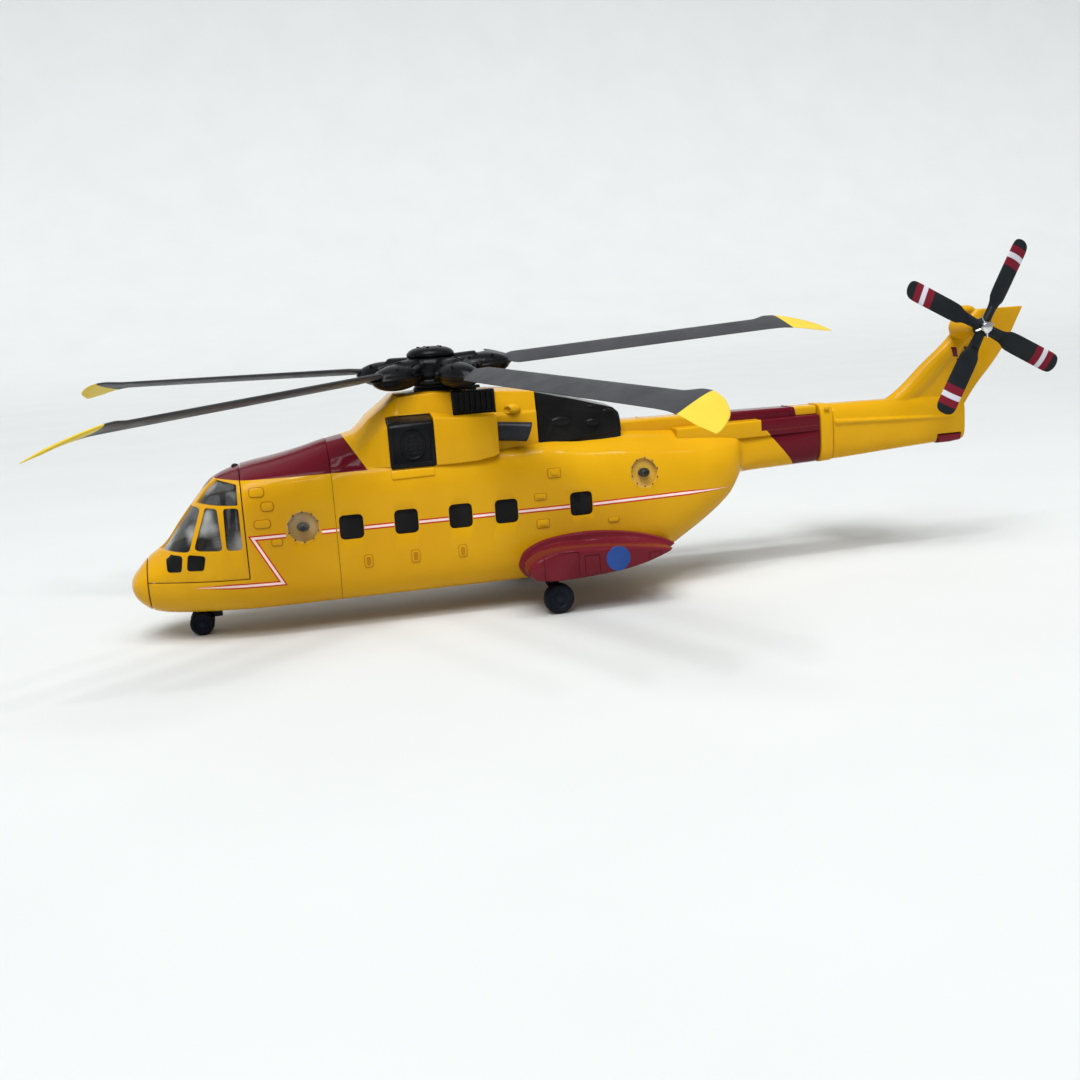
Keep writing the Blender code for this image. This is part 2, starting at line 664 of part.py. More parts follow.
def make_intake(cowl, side_name, side):
    """The air intake's dark box, with a raised oval mesh frame on its face."""
    low, high = (3.2, 13.4, 42.9), (15.2, 17.6, 54.6)
    hole = pocket_box(low, (high[0], 24.0, high[2]), side, GAP)
    boolean(cowl, add_cutter(f"intake_hole_{side_name}", hole))
    intake = add_part(f"intake_{side_name}", pocket_box(low, high, side, 0.0), BLACK)
    centre = point(9.2, side * high[1], 48.8)
    rise, stretch = Vector((0, 0.3 * MM, 0)), (1, 1, 1.25)
    frame = rod_mesh(centre - rise, centre + rise, 3.4, sides=20)
    bmesh.ops.scale(frame, vec=stretch, space=Matrix.Translation(-centre), verts=frame.verts)
    boolean(intake, add_cutter(f"oval_{side_name}", frame), "UNION")
    depth = Vector((0, 1.2 * MM, 0))
    well = rod_mesh(centre - depth, centre + depth, 2.7, sides=20)
    bmesh.ops.scale(well, vec=stretch, space=Matrix.Translation(-centre), verts=well.verts)
    boolean(intake, add_cutter(f"oval_well_{side_name}", well))
    cut_clear_of_body(intake)


def make_grille(cowl, side_name, side):
    """The dark cooler grille in the upper cowl's side, with upright bars."""
    low, high = (-15.0, 10.2, 55.9), (-3.3, 12.0, 60.8)
    hole = pocket_box(low, (high[0], 20.0, high[2]), side, GAP)
    boolean(cowl, add_cutter(f"grille_hole_{side_name}", hole))
    grille = add_part(f"cooler_grille_{side_name}", pocket_box(low, high, side, 0.0), BLACK)
    bars = 7
    pitch = (high[0] - low[0]) / bars
    for bar in range(bars):
        x = low[0] + pitch * (bar + 0.2)
        slot_high = (x + pitch * 0.6, 14.0, high[2] - 0.5)
        slot = pocket_box((x, 11.3, low[2] + 0.5), slot_high, side, 0.0)
        boolean(grille, add_cutter(f"grille_slot_{bar}_{side_name}", slot))


def make_exhaust(side_name, side):
    """The curved exhaust stub beside the cowl, open at its rear."""
    path = ((-15.1, 16.5, 50.2), (-18.6, 16.7, 49.8), (-22.8, 17.4, 49.4))
    radii = (2.6, 2.6, 2.5)
    squash = 0.8
    rings = []
    for (x, y, z), radius in zip(path, radii):
        loop = []
        for corner in range(12):
            angle = math.tau * corner / 12
            out = radius * squash * math.cos(angle)
            loop.append(point(x, side * (y + out), z + radius * math.sin(angle)))
        rings.append(loop)
    exhaust = add_part(f"exhaust_{side_name}", loft_mesh(rings), STEEL_DARK)
    bore = rod_mesh(point(-27.0, side * 18.1, 49.0), point(-18.0, side * 16.7, 49.8), 1.6, sides=12)
    boolean(exhaust, add_cutter(f"exhaust_bore_{side_name}", bore))


def make_spine():
    """The drive shaft's covers along the boom: a wide one below and a narrow one on top."""
    wide = (
        (-68.0, 9.2, 42.6, 45.7), (-90.0, 7.4, 42.0, 45.8), (FOLD_FRONT + GAP, 5.7, 42.0, 45.8),
    )
    rings = []
    for station, half, low, high in wide:
        corners = ((half, low), (half, high - 0.6), (half - 0.6, high))
        loop = [point(station, y, z) for y, z in corners]
        loop += [point(station, -y, z) for y, z in reversed(corners)]
        rings.append(loop)
    cover = add_part("shaft_cover", loft_mesh(rings), YELLOW)
    cut_clear_of_body(cover)
    narrow = (
        (REAR_COWL_END - GAP, 4.6, 46.2, 48.9), (-66.0, 4.2, 45.8, 48.6),
        (FOLD_FRONT + GAP, 3.4, 45.8, 48.4),
    )
    rings = []
    for station, half, low, high in narrow:
        corners = ((half, low + GAP), (half, high - 0.8), (half - 0.8, high))
        loop = [point(station, y, z) for y, z in corners]
        loop += [point(station, -y, z) for y, z in reversed(corners)]
        rings.append(loop)
    add_part("spine_cover", loft_mesh(rings), MAROON)


# Tail.

def oval_ring(station, half, low, high, power, count=16):
    """A rounded box section between two heights, as a loop of places."""
    middle, reach = (low + high) / 2, (high - low) / 2
    loop = []
    for corner in range(count):
        angle = math.tau * (corner + 0.5) / count
        y = math.copysign(abs(math.cos(angle)) ** (2 / power), math.cos(angle))
        z = math.copysign(abs(math.sin(angle)) ** (2 / power), math.sin(angle))
        loop.append(point(station, half * y, middle + reach * z))
    return loop


def make_fold_ring():
    """The narrow band where the real tail folds."""
    front = oval_ring(FOLD_FRONT - GAP / 2, 5.85, 31.15, 48.75, 4)
    rear = oval_ring(FOLD_REAR + GAP / 2, 5.7, 31.3, 48.65, 4)
    bevel(add_part("fold_ring", loft_mesh([front, rear]), YELLOW), 0.35)


def fin_ring(z, lead, trail, half):
    """An upright fin's section at one height: round in front, sharp behind."""
    chord = lead - trail
    shares = ((0.0, 0.0), (0.05, 0.55), (0.25, 1.0), (0.6, 0.8), (1.0, 0.2))
    port = [point(lead - chord * share, half * depth, z) for share, depth in shares]
    other = [point(lead - chord * share, -half * depth, z) for share, depth in shares[:0:-1]]
    return port + other


def make_tail():
    tops = ((FOLD_REAR - GAP / 2, 48.4), (-134.0, 48.2), (-150.0, 47.9), (TAIL_END, 46.4))
    rings = []
    for station, top in tops:
        rings.append(oval_ring(station, along(SIDE, station), along(KEEL, station), top, 3.2))
    fin = add_cutter("fin", loft_mesh([fin_ring(*section) for section in FIN_SECTIONS]))
    bumper_space = add_cutter("bumper_space", box_mesh((-163.0, -6, 30), (-154.6, 6, 36.2)))
    x, _, z = TAIL_ROTOR_HUB
    cover_hole = rod_mesh(point(x, -0.5, z), point(x, 5, z), 1.3)
    cover_seat = add_cutter("cover_seat", cover_hole)
    for side_name, side in both_sides():
        tail = add_part(f"tail_{side_name}", loft_mesh(rings), YELLOW)
        boolean(tail, fin, "UNION")
        ys = sorted((side * GAP / 2, side * 20))
        half = box_mesh((-200, ys[0], 20), (-110, ys[1], 90))
        boolean(tail, add_cutter(f"tail_half_{side_name}", half), "INTERSECT")
        boolean(tail, bumper_space)
        if side > 0:
            boolean(tail, cover_seat)
    rings = [
        oval_ring(-154.9, 2.7, 33.4, 35.9, 3, 12),
        oval_ring(-159.0, 2.6, 33.4, 35.9, 3, 12),
        oval_ring(-162.7, 2.3, 33.7, 35.9, 3, 12),
    ]
    add_part("tail_bumper", loft_mesh(rings), MAROON)


def make_stabiliser():
    """The half tailplane on the starboard side of the tail."""
    sections = ((-5.0, -127.0, 18.0, 0.9), (-35.0, -132.0, 13.0, 0.6), (-37.5, -134.0, 10.0, 0.3))
    rings = []
    for y, lead, chord, half in sections:
        shares = ((0.0, 0.0), (0.06, 0.6), (0.3, 1.0), (0.65, 0.7), (1.0, 0.25))
        upper = [point(lead - chord * share, y, 42.0 + half * depth) for share, depth in shares]
        lower = [point(lead - chord * share, y, 42.0 - half * depth) for share, depth in shares[:0:-1]]
        rings.append(upper + lower)
    add_part("stabiliser", loft_mesh(rings), YELLOW)


# Main rotor.

def blade_mesh():
    """A level blade along +X from the rotor's axis, its leading edge towards +Y."""
    rings = []
    for radius, lead, trail in BLADE_SECTIONS:
        thickness = BLADE_THICKNESS * (1 - BLADE_TAPER * radius / ROTOR_RADIUS)
        past = max(radius - TIP_START, 0) / (ROTOR_RADIUS - TIP_START)
        drop = TIP_ANHEDRAL * past ** TIP_CURVE
        chord = lead - trail
        shares = ((0, 0), (0.1, 0.5), (0.35, 0.5), (0.7, 0.35), (1, 0.1))
        upper = [(radius, lead - chord * share, rise * thickness - drop) for share, rise in shares]
        lower = [(radius, lead - chord * share, -rise * thickness - drop) for share, rise in shares[:0:-1]]
        rings.append([Vector(p) * MM for p in upper + lower])
    return loft_mesh(rings)


def box_on_blade(low, high, turn):
    """A box in a blade's own frame, turned to where the blade is."""
    low, high = Vector(low) * MM, Vector(high) * MM
    bm = bmesh.new()
    bmesh.ops.create_cube(bm, size=1.0)
    bmesh.ops.scale(bm, vec=high - low, verts=bm.verts)
    bmesh.ops.translate(bm, vec=(low + high) / 2, verts=bm.verts)
    bmesh.ops.transform(bm, matrix=turn, verts=bm.verts)
    return bm


def cuff_mesh(turn):
    """The long domed housing over a blade's root."""
    bm = bmesh.new()
    bmesh.ops.create_uvsphere(bm, u_segments=12, v_segments=8, radius=1.0)
    bmesh.ops.scale(bm, vec=Vector((9.6, 4.9, 3.6)) * MM, verts=bm.verts)
    bmesh.ops.translate(bm, vec=Vector((14.6, 0, -0.8)) * MM, verts=bm.verts)
    bmesh.ops.transform(bm, matrix=turn, verts=bm.verts)
    return bm


def make_main_rotor():
    axis = axis_empty("main_rotor_axis", point(0, 0, ROTOR_HEIGHT))
    mast = rod_mesh(point(0, 0, 54), point(0, 0, ROTOR_HEIGHT - 3.9), 1.5)
    hang(add_part("rotor_mast", mast, STEEL), axis)
    drum = rod_mesh(point(0, 0, ROTOR_HEIGHT - 2.6), point(0, 0, 71), 7.0, 6.4, 20)
    hub = add_part("rotor_hub", drum, BLACK)
    lower = rod_mesh(point(0, 0, ROTOR_HEIGHT - 3.6), point(0, 0, ROTOR_HEIGHT), 5.0, 6.0, 20)
    boolean(hub, add_cutter("hub_foot", lower), "UNION")
    centre = Matrix.Translation(point(0, 0, ROTOR_HEIGHT))
    step = 360 / len(BLADE_DROOP)
    blades = zip(BLADE_DROOP, BLADE_SWING, BLADE_PITCH)
    for number, (droop, swing, pitch) in enumerate(blades, 1):
        azimuth = math.radians(180 - step * (number - 1) - ROTOR_PHASE + swing)
        turn = Euler((math.radians(pitch), math.asin(droop / ROTOR_RADIUS), azimuth))
        placed = centre @ turn.to_matrix().to_4x4()
        level = centre @ Euler((0, turn.y, turn.z)).to_matrix().to_4x4()
        boolean(hub, add_cutter(f"cuff_{number}", cuff_mesh(level)), "UNION")
        slot = box_on_blade((17.3, -2.6, -1.0), (27.3, 2.6, 1.0), placed)
        boolean(hub, add_cutter(f"root_slot_{number}", slot))
        blade = add_part(f"main_blade_{number}", blade_mesh(), BLADE_GREY)
        blade.parent = axis
        blade.rotation_euler = turn
    hang(hub, axis)
    cap = turned_part(
        "rotor_cap",
        ((0.0, 2.6), (3.4, 2.5), (6.6, 1.9), (7.4, 1.2), (7.0, 0.5), (3.2, 0.0), (0.0, 0.0)),
        BLACK,
        20,
    )
    cap.parent = axis
    cap.location = (0, 0, (71.3 - ROTOR_HEIGHT) * MM)
    plate = add_part("swashplate", rod_mesh(point(0, 0, 62.6), point(0, 0, 63.6), 5.6, 5.2, 20), BLACK)
    hole = rod_mesh(point(0, 0, 60), point(0, 0, 66), 1.9)
    boolean(plate, add_cutter("swashplate_bore", hole))


# Tail rotor.

def make_tail_rotor():
    direction = Vector((0, 1, 0))
    hub_place = point(*TAIL_ROTOR_HUB)
    axis = axis_empty("tail_rotor_axis", hub_place, direction)
    bpy.context.view_layer.update()

    def on_axis(distance):
        return hub_place + direction * distance * MM

    rotor = add_part("tail_rotor", rod_mesh(on_axis(-1.5), on_axis(1.5), 2.7), BLACK)
    aft = Vector((-1, 0, 0))
    up = direction.cross(aft)
    if up.z < 0:
        up = -up
    for number in range(4):
        angle = math.radians(TAIL_BLADE_PHASE + 90 * number)
        radial = aft * math.cos(angle) + up * math.sin(angle)
        across = radial.cross(direction)
        pitch = Matrix.Rotation(math.radians(TAIL_BLADE_PITCH), 3, radial)
        across_pitched, out = pitch @ across, pitch @ direction
        rings = []
        for radius, half in TAIL_BLADE_SECTIONS:
            centre = hub_place + radial * radius * MM
            loop = []
            for share, rise in TAIL_BLADE_SHAPE:
                loop.append(centre + (across_pitched * half * share + out * TAIL_BLADE_THICKNESS * rise) * MM)
            rings.append(loop)
        blade = add_cutter(f"tail_blade_{number + 1}", loft_mesh(rings))
        boolean(rotor, blade, "UNION")
    bore = rod_mesh(on_axis(-5), on_axis(5), 1.0)
    boolean(rotor, add_cutter("tail_rotor_bore", bore))
    hang(rotor, axis)
    pin = add_part("tail_rotor_pin", rod_mesh(on_axis(-7.0), on_axis(2.2), 0.7), CHROME)
    boolean(pin, add_cutter("pin_head", rod_mesh(on_axis(1.8), on_axis(2.7), 1.5)), "UNION")
    hang(pin, axis)
    cover = rod_mesh(on_axis(-12.6), on_axis(-2.2), 3.4, 2.3)
    gearbox = add_part("tail_gearbox_cover", cover, YELLOW)
    boolean(gearbox, add_cutter("gearbox_bore", rod_mesh(on_axis(-8.0), on_axis(0), 1.0)))
    fin_clearance = box_mesh((-190, -5, 40), (-130, 2.45, 90))
    boolean(gearbox, add_cutter("fin_clearance", fin_clearance))


# Sponsons and landing gear.

def make_sponson(side_name, side):
    middle_x, middle_z = SPONSON_MIDDLE
    rings = []
    for y, along_x, along_z in SPONSON_TAPER:
        rings.append([
            point(middle_x + (x - middle_x) * along_x, side * y, middle_z + (z - middle_z) * along_z)
            for x, z in SPONSON_OUTLINE
        ])
    sponson = add_part(f"sponson_{side_name}", loft_mesh(rings), MAROON)
    cut_clear_of_body(sponson)
    x, y = MAIN_WHEEL
    leg_y = side * (y - 3.7)
    start, end = point(x, leg_y, 5), point(x, leg_y, 14.3)
    boolean(sponson, add_cutter(f"leg_hole_{side_name}", rod_mesh(start, end, 1.4)))


def wheel_profile(radius, width):
    half = width / 2
    return (
        (0.9, half - 0.5), (radius * 0.62, half - 0.5), (radius * 0.68, half), (radius - 0.5, half),
        (radius, half - 0.5), (radius, 0.5 - half), (radius - 0.5, -half), (0.9, -half),
        (0.9, half - 0.5),
    )


def make_wheel(name, place, radius, width, axis):
    """A wheel turned about Y, with one of its flat facets facing straight down."""
    across_flats = radius / math.cos(math.pi / WHEEL_SIDES)
    wheel = turned_part(name, wheel_profile(across_flats, width), TYRE, WHEEL_SIDES)
    wheel.parent = axis
    wheel.location = axis.matrix_world.inverted() @ place
    wheel.rotation_euler.z = math.pi / WHEEL_SIDES
    return wheel


def make_main_gear(side_name, side):
    x, y = MAIN_WHEEL
    centre = point(x, side * y, MAIN_WHEEL_RADIUS)
    axis = axis_empty(f"main_axle_line_{side_name}", centre, (0, 1, 0))
    bpy.context.view_layer.update()
    make_wheel(f"main_wheel_{side_name}", centre, MAIN_WHEEL_RADIUS, MAIN_WHEEL_WIDTH, axis)
    leg_y = side * (y - 3.7)
    foot = point(x, leg_y, MAIN_WHEEL_RADIUS)
    leg_mesh = rod_mesh(point(x, leg_y, MAIN_WHEEL_RADIUS), point(x, leg_y, 14.0), 1.1)
    leg = add_part(f"main_gear_leg_{side_name}", leg_mesh, BLACK)
    reach = Vector((0, 1.5 * MM, 0))
    boolean(leg, add_cutter(f"main_lug_{side_name}", rod_mesh(foot - reach, foot + reach, 1.7)), "UNION")
    hole = rod_mesh(foot - reach * 4, foot + reach * 4, AXLE_RADIUS + 0.25)
    boolean(leg, add_cutter(f"main_axle_hole_{side_name}", hole))
    inner = point(x, side * (y - 5.9), MAIN_WHEEL_RADIUS)
    outer = point(x, side * (y + 1.5), MAIN_WHEEL_RADIUS)
    hang(add_part(f"main_axle_{side_name}", rod_mesh(inner, outer, AXLE_RADIUS, sides=12), STEEL), axis)


def make_nose_gear():
    x, y = NOSE_WHEEL
    height = NOSE_WHEEL_RADIUS
    axis = axis_empty("nose_axle_line", point(x, 0, height), (0, 1, 0))
    bpy.context.view_layer.update()
    for side_name, side in both_sides():
        centre = point(x, side * y, height)
        make_wheel(f"nose_wheel_{side_name}", centre, NOSE_WHEEL_RADIUS, NOSE_WHEEL_WIDTH, axis)
    leg = add_part("nose_gear_leg", rod_mesh(point(x, 0, height), point(x, 0, 11.2), 1.1), BLACK)
    reach = Vector((0, 1.2 * MM, 0))
    foot = point(x, 0, height)
    boolean(leg, add_cutter("nose_lug", rod_mesh(foot - reach, foot + reach, 1.5)), "UNION")
    collar = rod_mesh(point(x, 0, 9.9), point(x, 0, 10.9), 2.4)
    boolean(leg, add_cutter("nose_collar", collar), "UNION")
    hole = rod_mesh(foot - reach * 4, foot + reach * 4, AXLE_RADIUS + 0.25)
    boolean(leg, add_cutter("nose_axle_hole", hole))
    end = Vector((0, (y + 1.1) * MM, 0))
    hang(add_part("nose_axle", rod_mesh(foot - end, foot + end, AXLE_RADIUS, sides=12), STEEL), axis)


clear_scene()
PARTS = make_collection("helicopter_scale_model")
CUTTERS = make_collection("cutters")
YELLOW = make_material("yellow_paint", (0.87, 0.50, 0.02), 0.25)
MAROON = make_material("maroon_paint", (0.22, 0.01, 0.04), 0.3)
BLACK = make_material("black_plastic", (0.02, 0.02, 0.022), 0.35)
BLADE_GREY = make_material("blade_grey", (0.045, 0.046, 0.05), 0.5)
GREY = make_material("grey_plastic", (0.25, 0.25, 0.26), 0.5)
TYRE = make_material("tyre_black", (0.03, 0.035, 0.05), 0.55)
GLASS = make_material("clear_plastic", (0.85, 0.86, 0.84), 0.08, alpha=0.3)
STEEL = make_material("steel", (0.6, 0.6, 0.6), 0.3, 1.0)
STEEL_DARK = make_material("dark_metal", (0.08, 0.085, 0.1), 0.4, 0.6)
CHROME = make_material("chrome", (0.85, 0.85, 0.86), 0.12, 1.0)

make_body_clearance()
make_nose()
make_front_body()
make_canopy()
make_cockpit()
make_cabin()
make_floor()
make_cowls()
make_spine()
make_fold_ring()
make_tail()
make_stabiliser()
make_main_rotor()
make_tail_rotor()
for gear_side, gear_sign in both_sides():
    make_sponson(gear_side, gear_sign)
    make_main_gear(gear_side, gear_sign)
make_nose_gear()
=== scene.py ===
"""Looks of the 1:72 rescue helicopter model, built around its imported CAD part.

Lengths are millimetres until a mesh is made. X points to the nose, Y to port, Z up. A station
is a distance along X from the main rotor's axis, positive towards the nose.
"""

import math

import bmesh
import bpy
import numpy as np
from mathutils import Euler, Matrix, Vector


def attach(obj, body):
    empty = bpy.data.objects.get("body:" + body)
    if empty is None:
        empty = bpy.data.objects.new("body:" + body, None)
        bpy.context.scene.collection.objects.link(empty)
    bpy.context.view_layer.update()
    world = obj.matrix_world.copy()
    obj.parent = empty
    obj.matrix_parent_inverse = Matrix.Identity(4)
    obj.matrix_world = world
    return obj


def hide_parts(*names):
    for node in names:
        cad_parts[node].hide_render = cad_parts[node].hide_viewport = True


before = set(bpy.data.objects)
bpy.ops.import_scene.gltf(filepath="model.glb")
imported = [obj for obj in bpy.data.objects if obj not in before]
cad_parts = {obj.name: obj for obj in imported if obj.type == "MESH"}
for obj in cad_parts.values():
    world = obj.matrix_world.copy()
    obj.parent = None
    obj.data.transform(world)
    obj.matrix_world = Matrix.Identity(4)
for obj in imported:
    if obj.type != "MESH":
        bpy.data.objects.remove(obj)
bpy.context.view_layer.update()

MM = 0.001
AIR = "airframe"
ROTOR_X = 43.0
NOSE_GEAR = 69.2
ROTOR_HEIGHT = 67.9
ROTOR_RADIUS = 122.3
SIDES = (("left", 1), ("right", -1))
GAP = 0.3
WALL = 1.1
NOSE_TIP = 86.2
NOSE_CAP_SEAM = 81.5
CANOPY_REAR = 54.9
CANOPY_SILL = 17.3
BODY_SEAM = 31.3
SEAM = 0.12
COWL_REAR = -26.5
REAR_COWL_END = -51.4
FOLD_FRONT = -114.4
FOLD_REAR = -118.6
TAIL_END = -164.4
# The main wheel's station, its distance out and its radius.
MAIN_WHEEL = (-26.4, 25.4, 4.2)
MAIN_LEG_Y = 21.7
NOSE_WHEEL_Y = 2.6
NOSE_WHEEL_RADIUS = 3.3
CAMERA_PLACE = (0.09205, 0.34629, 0.08401)
CAMERA_TURN = (-0.218378, -0.189818, -0.065489)
SWEEP_BACK, SWEEP_RADIUS, SWEEP_STEPS = -1.3, 0.8, 12


def at(station, y, z):
    return Vector((station + ROTOR_X, y, z)) * MM


def facing(spot, direction):
    """The matrix that moves the origin to spot and turns Z to direction."""
    turn = Vector((0, 0, 1)).rotation_difference(direction).to_matrix().to_4x4()
    return Matrix.Translation(spot) @ turn


def spoke(angle):
    return Vector((math.cos(angle), math.sin(angle), 0))


def middle_of(outline):
    return sum((Vector(p) for p in outline), Vector((0, 0))) / len(outline)


def show(obj):
    bpy.context.scene.collection.objects.link(obj)
    return obj


# Camera, light and floor.

def make_camera():
    data = bpy.data.cameras.new("camera")
    data.lens = 41.26
    data.sensor_width = 36.0
    data.clip_start = 0.01
    camera = show(bpy.data.objects.new("camera", data))
    yaw, pitch, roll = CAMERA_TURN
    back = -Vector((
        math.sin(yaw) * math.cos(pitch), -math.cos(yaw) * math.cos(pitch), math.sin(pitch)
    ))
    right = (-back).cross(Vector((0, 0, 1))).normalized()
    up = right.cross(-back)
    right, up = (
        right * math.cos(roll) + up * math.sin(roll),
        up * math.cos(roll) - right * math.sin(roll),
    )
    turn = Matrix((right, up, back)).transposed().to_4x4()
    camera.matrix_world = Matrix.Translation(CAMERA_PLACE) @ turn
    bpy.context.scene.camera = camera


def area_light(name, place, target, size, power):
    data = bpy.data.lights.new(name, "AREA")
    data.shape = "RECTANGLE"
    data.size, data.size_y = size
    data.energy = power
    light = show(bpy.data.objects.new(name, data))
    light.location = place
    light.rotation_euler = (Vector(target) - Vector(place)).to_track_quat("-Z", "Y").to_euler()


def make_studio():
    scene = bpy.context.scene
    scene.view_settings.view_transform = "Standard"
    scene.view_settings.look = "None"
    scene.world = bpy.data.worlds.new("studio")
    scene.world.use_nodes = True
    background = scene.world.node_tree.nodes["Background"]
    background.inputs["Color"].default_value = (0.93, 0.965, 1.0, 1.0)
    background.inputs["Strength"].default_value = 0.36
    sun = bpy.data.lights.new("soft_key", "SUN")
    sun.energy = 2.4
    sun.angle = math.radians(38)
    key = show(bpy.data.objects.new("soft_key", sun))
    key.rotation_euler = Vector((-0.20, -0.50, -0.84)).to_track_quat("-Z", "Y").to_euler()
    area_light("overhead", (0.05, 0.10, 0.75), (0, 0, 0.03), (0.5, 0.12), 1.2)
    area_light("wall_wash", (0.0, -1.0, 1.6), (0, -2.4, 0.7), (4.0, 0.8), 9.0)
    for lamp, x in enumerate((-0.42, -0.16, 0.10, 0.36)):
        area_light(f"ceiling_lamp_{lamp}", (x, 0.34, 0.80), (x * 0.5, 0, 0.03), (0.07, 0.009), 0.55)


def make_floor():
    """A floor that curves up into a wall behind the model."""
    bm = bmesh.new()
    profile = [(3.0, 0.0), (SWEEP_BACK, 0.0)]
    for step in range(1, SWEEP_STEPS + 1):
        angle = math.pi / 2 * step / SWEEP_STEPS
        profile.append((
            SWEEP_BACK - SWEEP_RADIUS * math.sin(angle), SWEEP_RADIUS - SWEEP_RADIUS * math.cos(angle)
        ))
    profile.append((-2.1, 4.0))
    rows = [[bm.verts.new((x, y, z - 0.00005)) for y, z in profile] for x in (-6.0, 6.0)]
    for i in range(len(profile) - 1):
        bm.faces.new((rows[0][i], rows[0][i + 1], rows[1][i + 1], rows[1][i]))
    new_object("floor_sweep", bm, "stage", 60)


# Materials.

class Shade:
    """A Principled material and short names for the nodes that feed it."""

    def __init__(self, name, color, roughness, metallic=0.0, coat=0.0, **sockets):
        self.material = bpy.data.materials.new(name)
        self.material.use_nodes = True
        self.tree = self.material.node_tree
        self.shader = self.tree.nodes["Principled BSDF"]
        self.set("Base Color", (*color, 1.0))
        self.set("Roughness", roughness)
        self.set("Metallic", metallic)
        self.set("Coat Weight", coat)
        self.set("Coat Roughness", 0.04)
        self.set("Specular IOR Level", 0.06)
        for socket, value in sockets.items():
            self.set(socket.replace("_", " "), value)
        self.place = self.new("ShaderNodeTexCoord").outputs["Object"]

    def set(self, socket, value):
        self.shader.inputs[socket].default_value = value

    def new(self, kind, **settings):
        node = self.tree.nodes.new(kind)
        for key, value in settings.items():
            setattr(node, key, value)
        return node

    def link(self, source, target):
        self.tree.links.new(source, target)

    def feed(self, socket, value):
        if isinstance(value, bpy.types.NodeSocket):
            self.link(value, socket)
        else:
            socket.default_value = value

    def math(self, operation, a, b=0.0, clamp=False):
        node = self.new("ShaderNodeMath", operation=operation, use_clamp=clamp)
        self.feed(node.inputs[0], a)
        self.feed(node.inputs[1], b)
        return node.outputs[0]

    def beyond(self, direction, offset):
        """How far a place is past a plane, in millimetres. direction is in station, y, z."""
        node = self.new("ShaderNodeVectorMath", operation="DOT_PRODUCT")
        self.link(self.place, node.inputs[0])
        node.inputs[1].default_value = [value / MM for value in direction]
        return self.math("SUBTRACT", node.outputs["Value"], offset)

    def side_of(self, start, end, toward):
        """Distance from the line through two (station, z) points, positive on toward's side."""
        along = Vector((end[0] - start[0], end[1] - start[1])).normalized()
        normal = Vector((-along.y, along.x))
        if normal.dot(Vector(toward) - Vector(start)) < 0:
            normal.negate()
        offset = normal.x * (start[0] + ROTOR_X) + normal.y * start[1]
        return self.beyond((normal.x, 0, normal.y), offset)

    def every(self, *values):
        result = values[0]
        for value in values[1:]:
            result = self.math("MINIMUM", result, value)
        return result

    def some(self, *values):
        result = values[0]
        for value in values[1:]:
            result = self.math("MAXIMUM", result, value)
        return result

    def inside(self, *outline):
        """Positive inside a convex (station, z) outline."""
        middle = middle_of(outline)
        ends = outline[1:] + outline[:1]
        return self.every(*[self.side_of(a, b, middle) for a, b in zip(outline, ends)])

    def crisp(self, distance, softness=0.05):
        scaled = self.math("DIVIDE", distance, softness)
        return self.math("ADD", scaled, 0.5, clamp=True)

    def noise(self, scale, detail=2.0, rough=0.5):
        node = self.new("ShaderNodeTexNoise")
        self.link(self.place, node.inputs["Vector"])
        node.inputs["Scale"].default_value = scale
        node.inputs["Detail"].default_value = detail
        node.inputs["Roughness"].default_value = rough
        return node.outputs["Fac"]

    def stretch(self, value, low, high, to_low=0.0, to_high=1.0):
        node = self.new("ShaderNodeMapRange")
        for number, given in enumerate((value, low, high, to_low, to_high)):
            self.feed(node.inputs[number], given)
        return node.outputs[0]

    def mix(self, factor, a, b):
        node = self.new("ShaderNodeMix", data_type="RGBA")
        self.feed(node.inputs[0], factor)
        for socket, value in ((node.inputs[6], a), (node.inputs[7], b)):
            self.feed(socket, (*value, 1.0) if isinstance(value, tuple) else value)
        return node.outputs[2]

    def cloud(self, scale, detail, low, high, to_low=0.0, to_high=1.0, rough=0.5):
        """Noise whose values from low to high are spread from to_low to to_high."""
        return self.stretch(self.noise(scale, detail, rough), low, high, to_low, to_high)

    def color(self, value):
        self.feed(self.shader.inputs["Base Color"], value)

    def roughness(self, value):
        self.feed(self.shader.inputs["Roughness"], value)

    def bump(self, height, distance, strength=1.0):
        """Bumps of a height in millimetres."""
        node = self.new("ShaderNodeBump")
        node.inputs["Strength"].default_value = strength
        node.inputs["Distance"].default_value = distance * MM
        self.feed(node.inputs["Height"], height)
        self.link(node.outputs["Normal"], self.shader.inputs["Normal"])
        if "Coat Normal" in self.shader.inputs:
            self.link(node.outputs["Normal"], self.shader.inputs["Coat Normal"])


YELLOW = (0.62, 0.325, 0.005)
YELLOW_DEEP = (0.56, 0.275, 0.004)
MAROON = (0.105, 0.005, 0.012)
BLACK = (0.0042, 0.0043, 0.0050)


def paint_finish(shade, base, deep):
    """Sprayed gloss paint on a small casting: slow colour drift, faint orange peel and dust."""
    color = shade.mix(shade.cloud(38.0, 3.0, 0.35, 0.7), base, deep)
    dust = shade.cloud(1500.0, 4.0, 0.66, 0.80, rough=0.7)
    roughness = shade.cloud(160.0, 3.0, 0.3, 0.7, 0.13, 0.22)
    shade.roughness(shade.math("ADD", roughness, shade.math("MULTIPLY", dust, 0.25)))
    shade.bump(shade.noise(520.0, 2.0), 0.035)
    return color


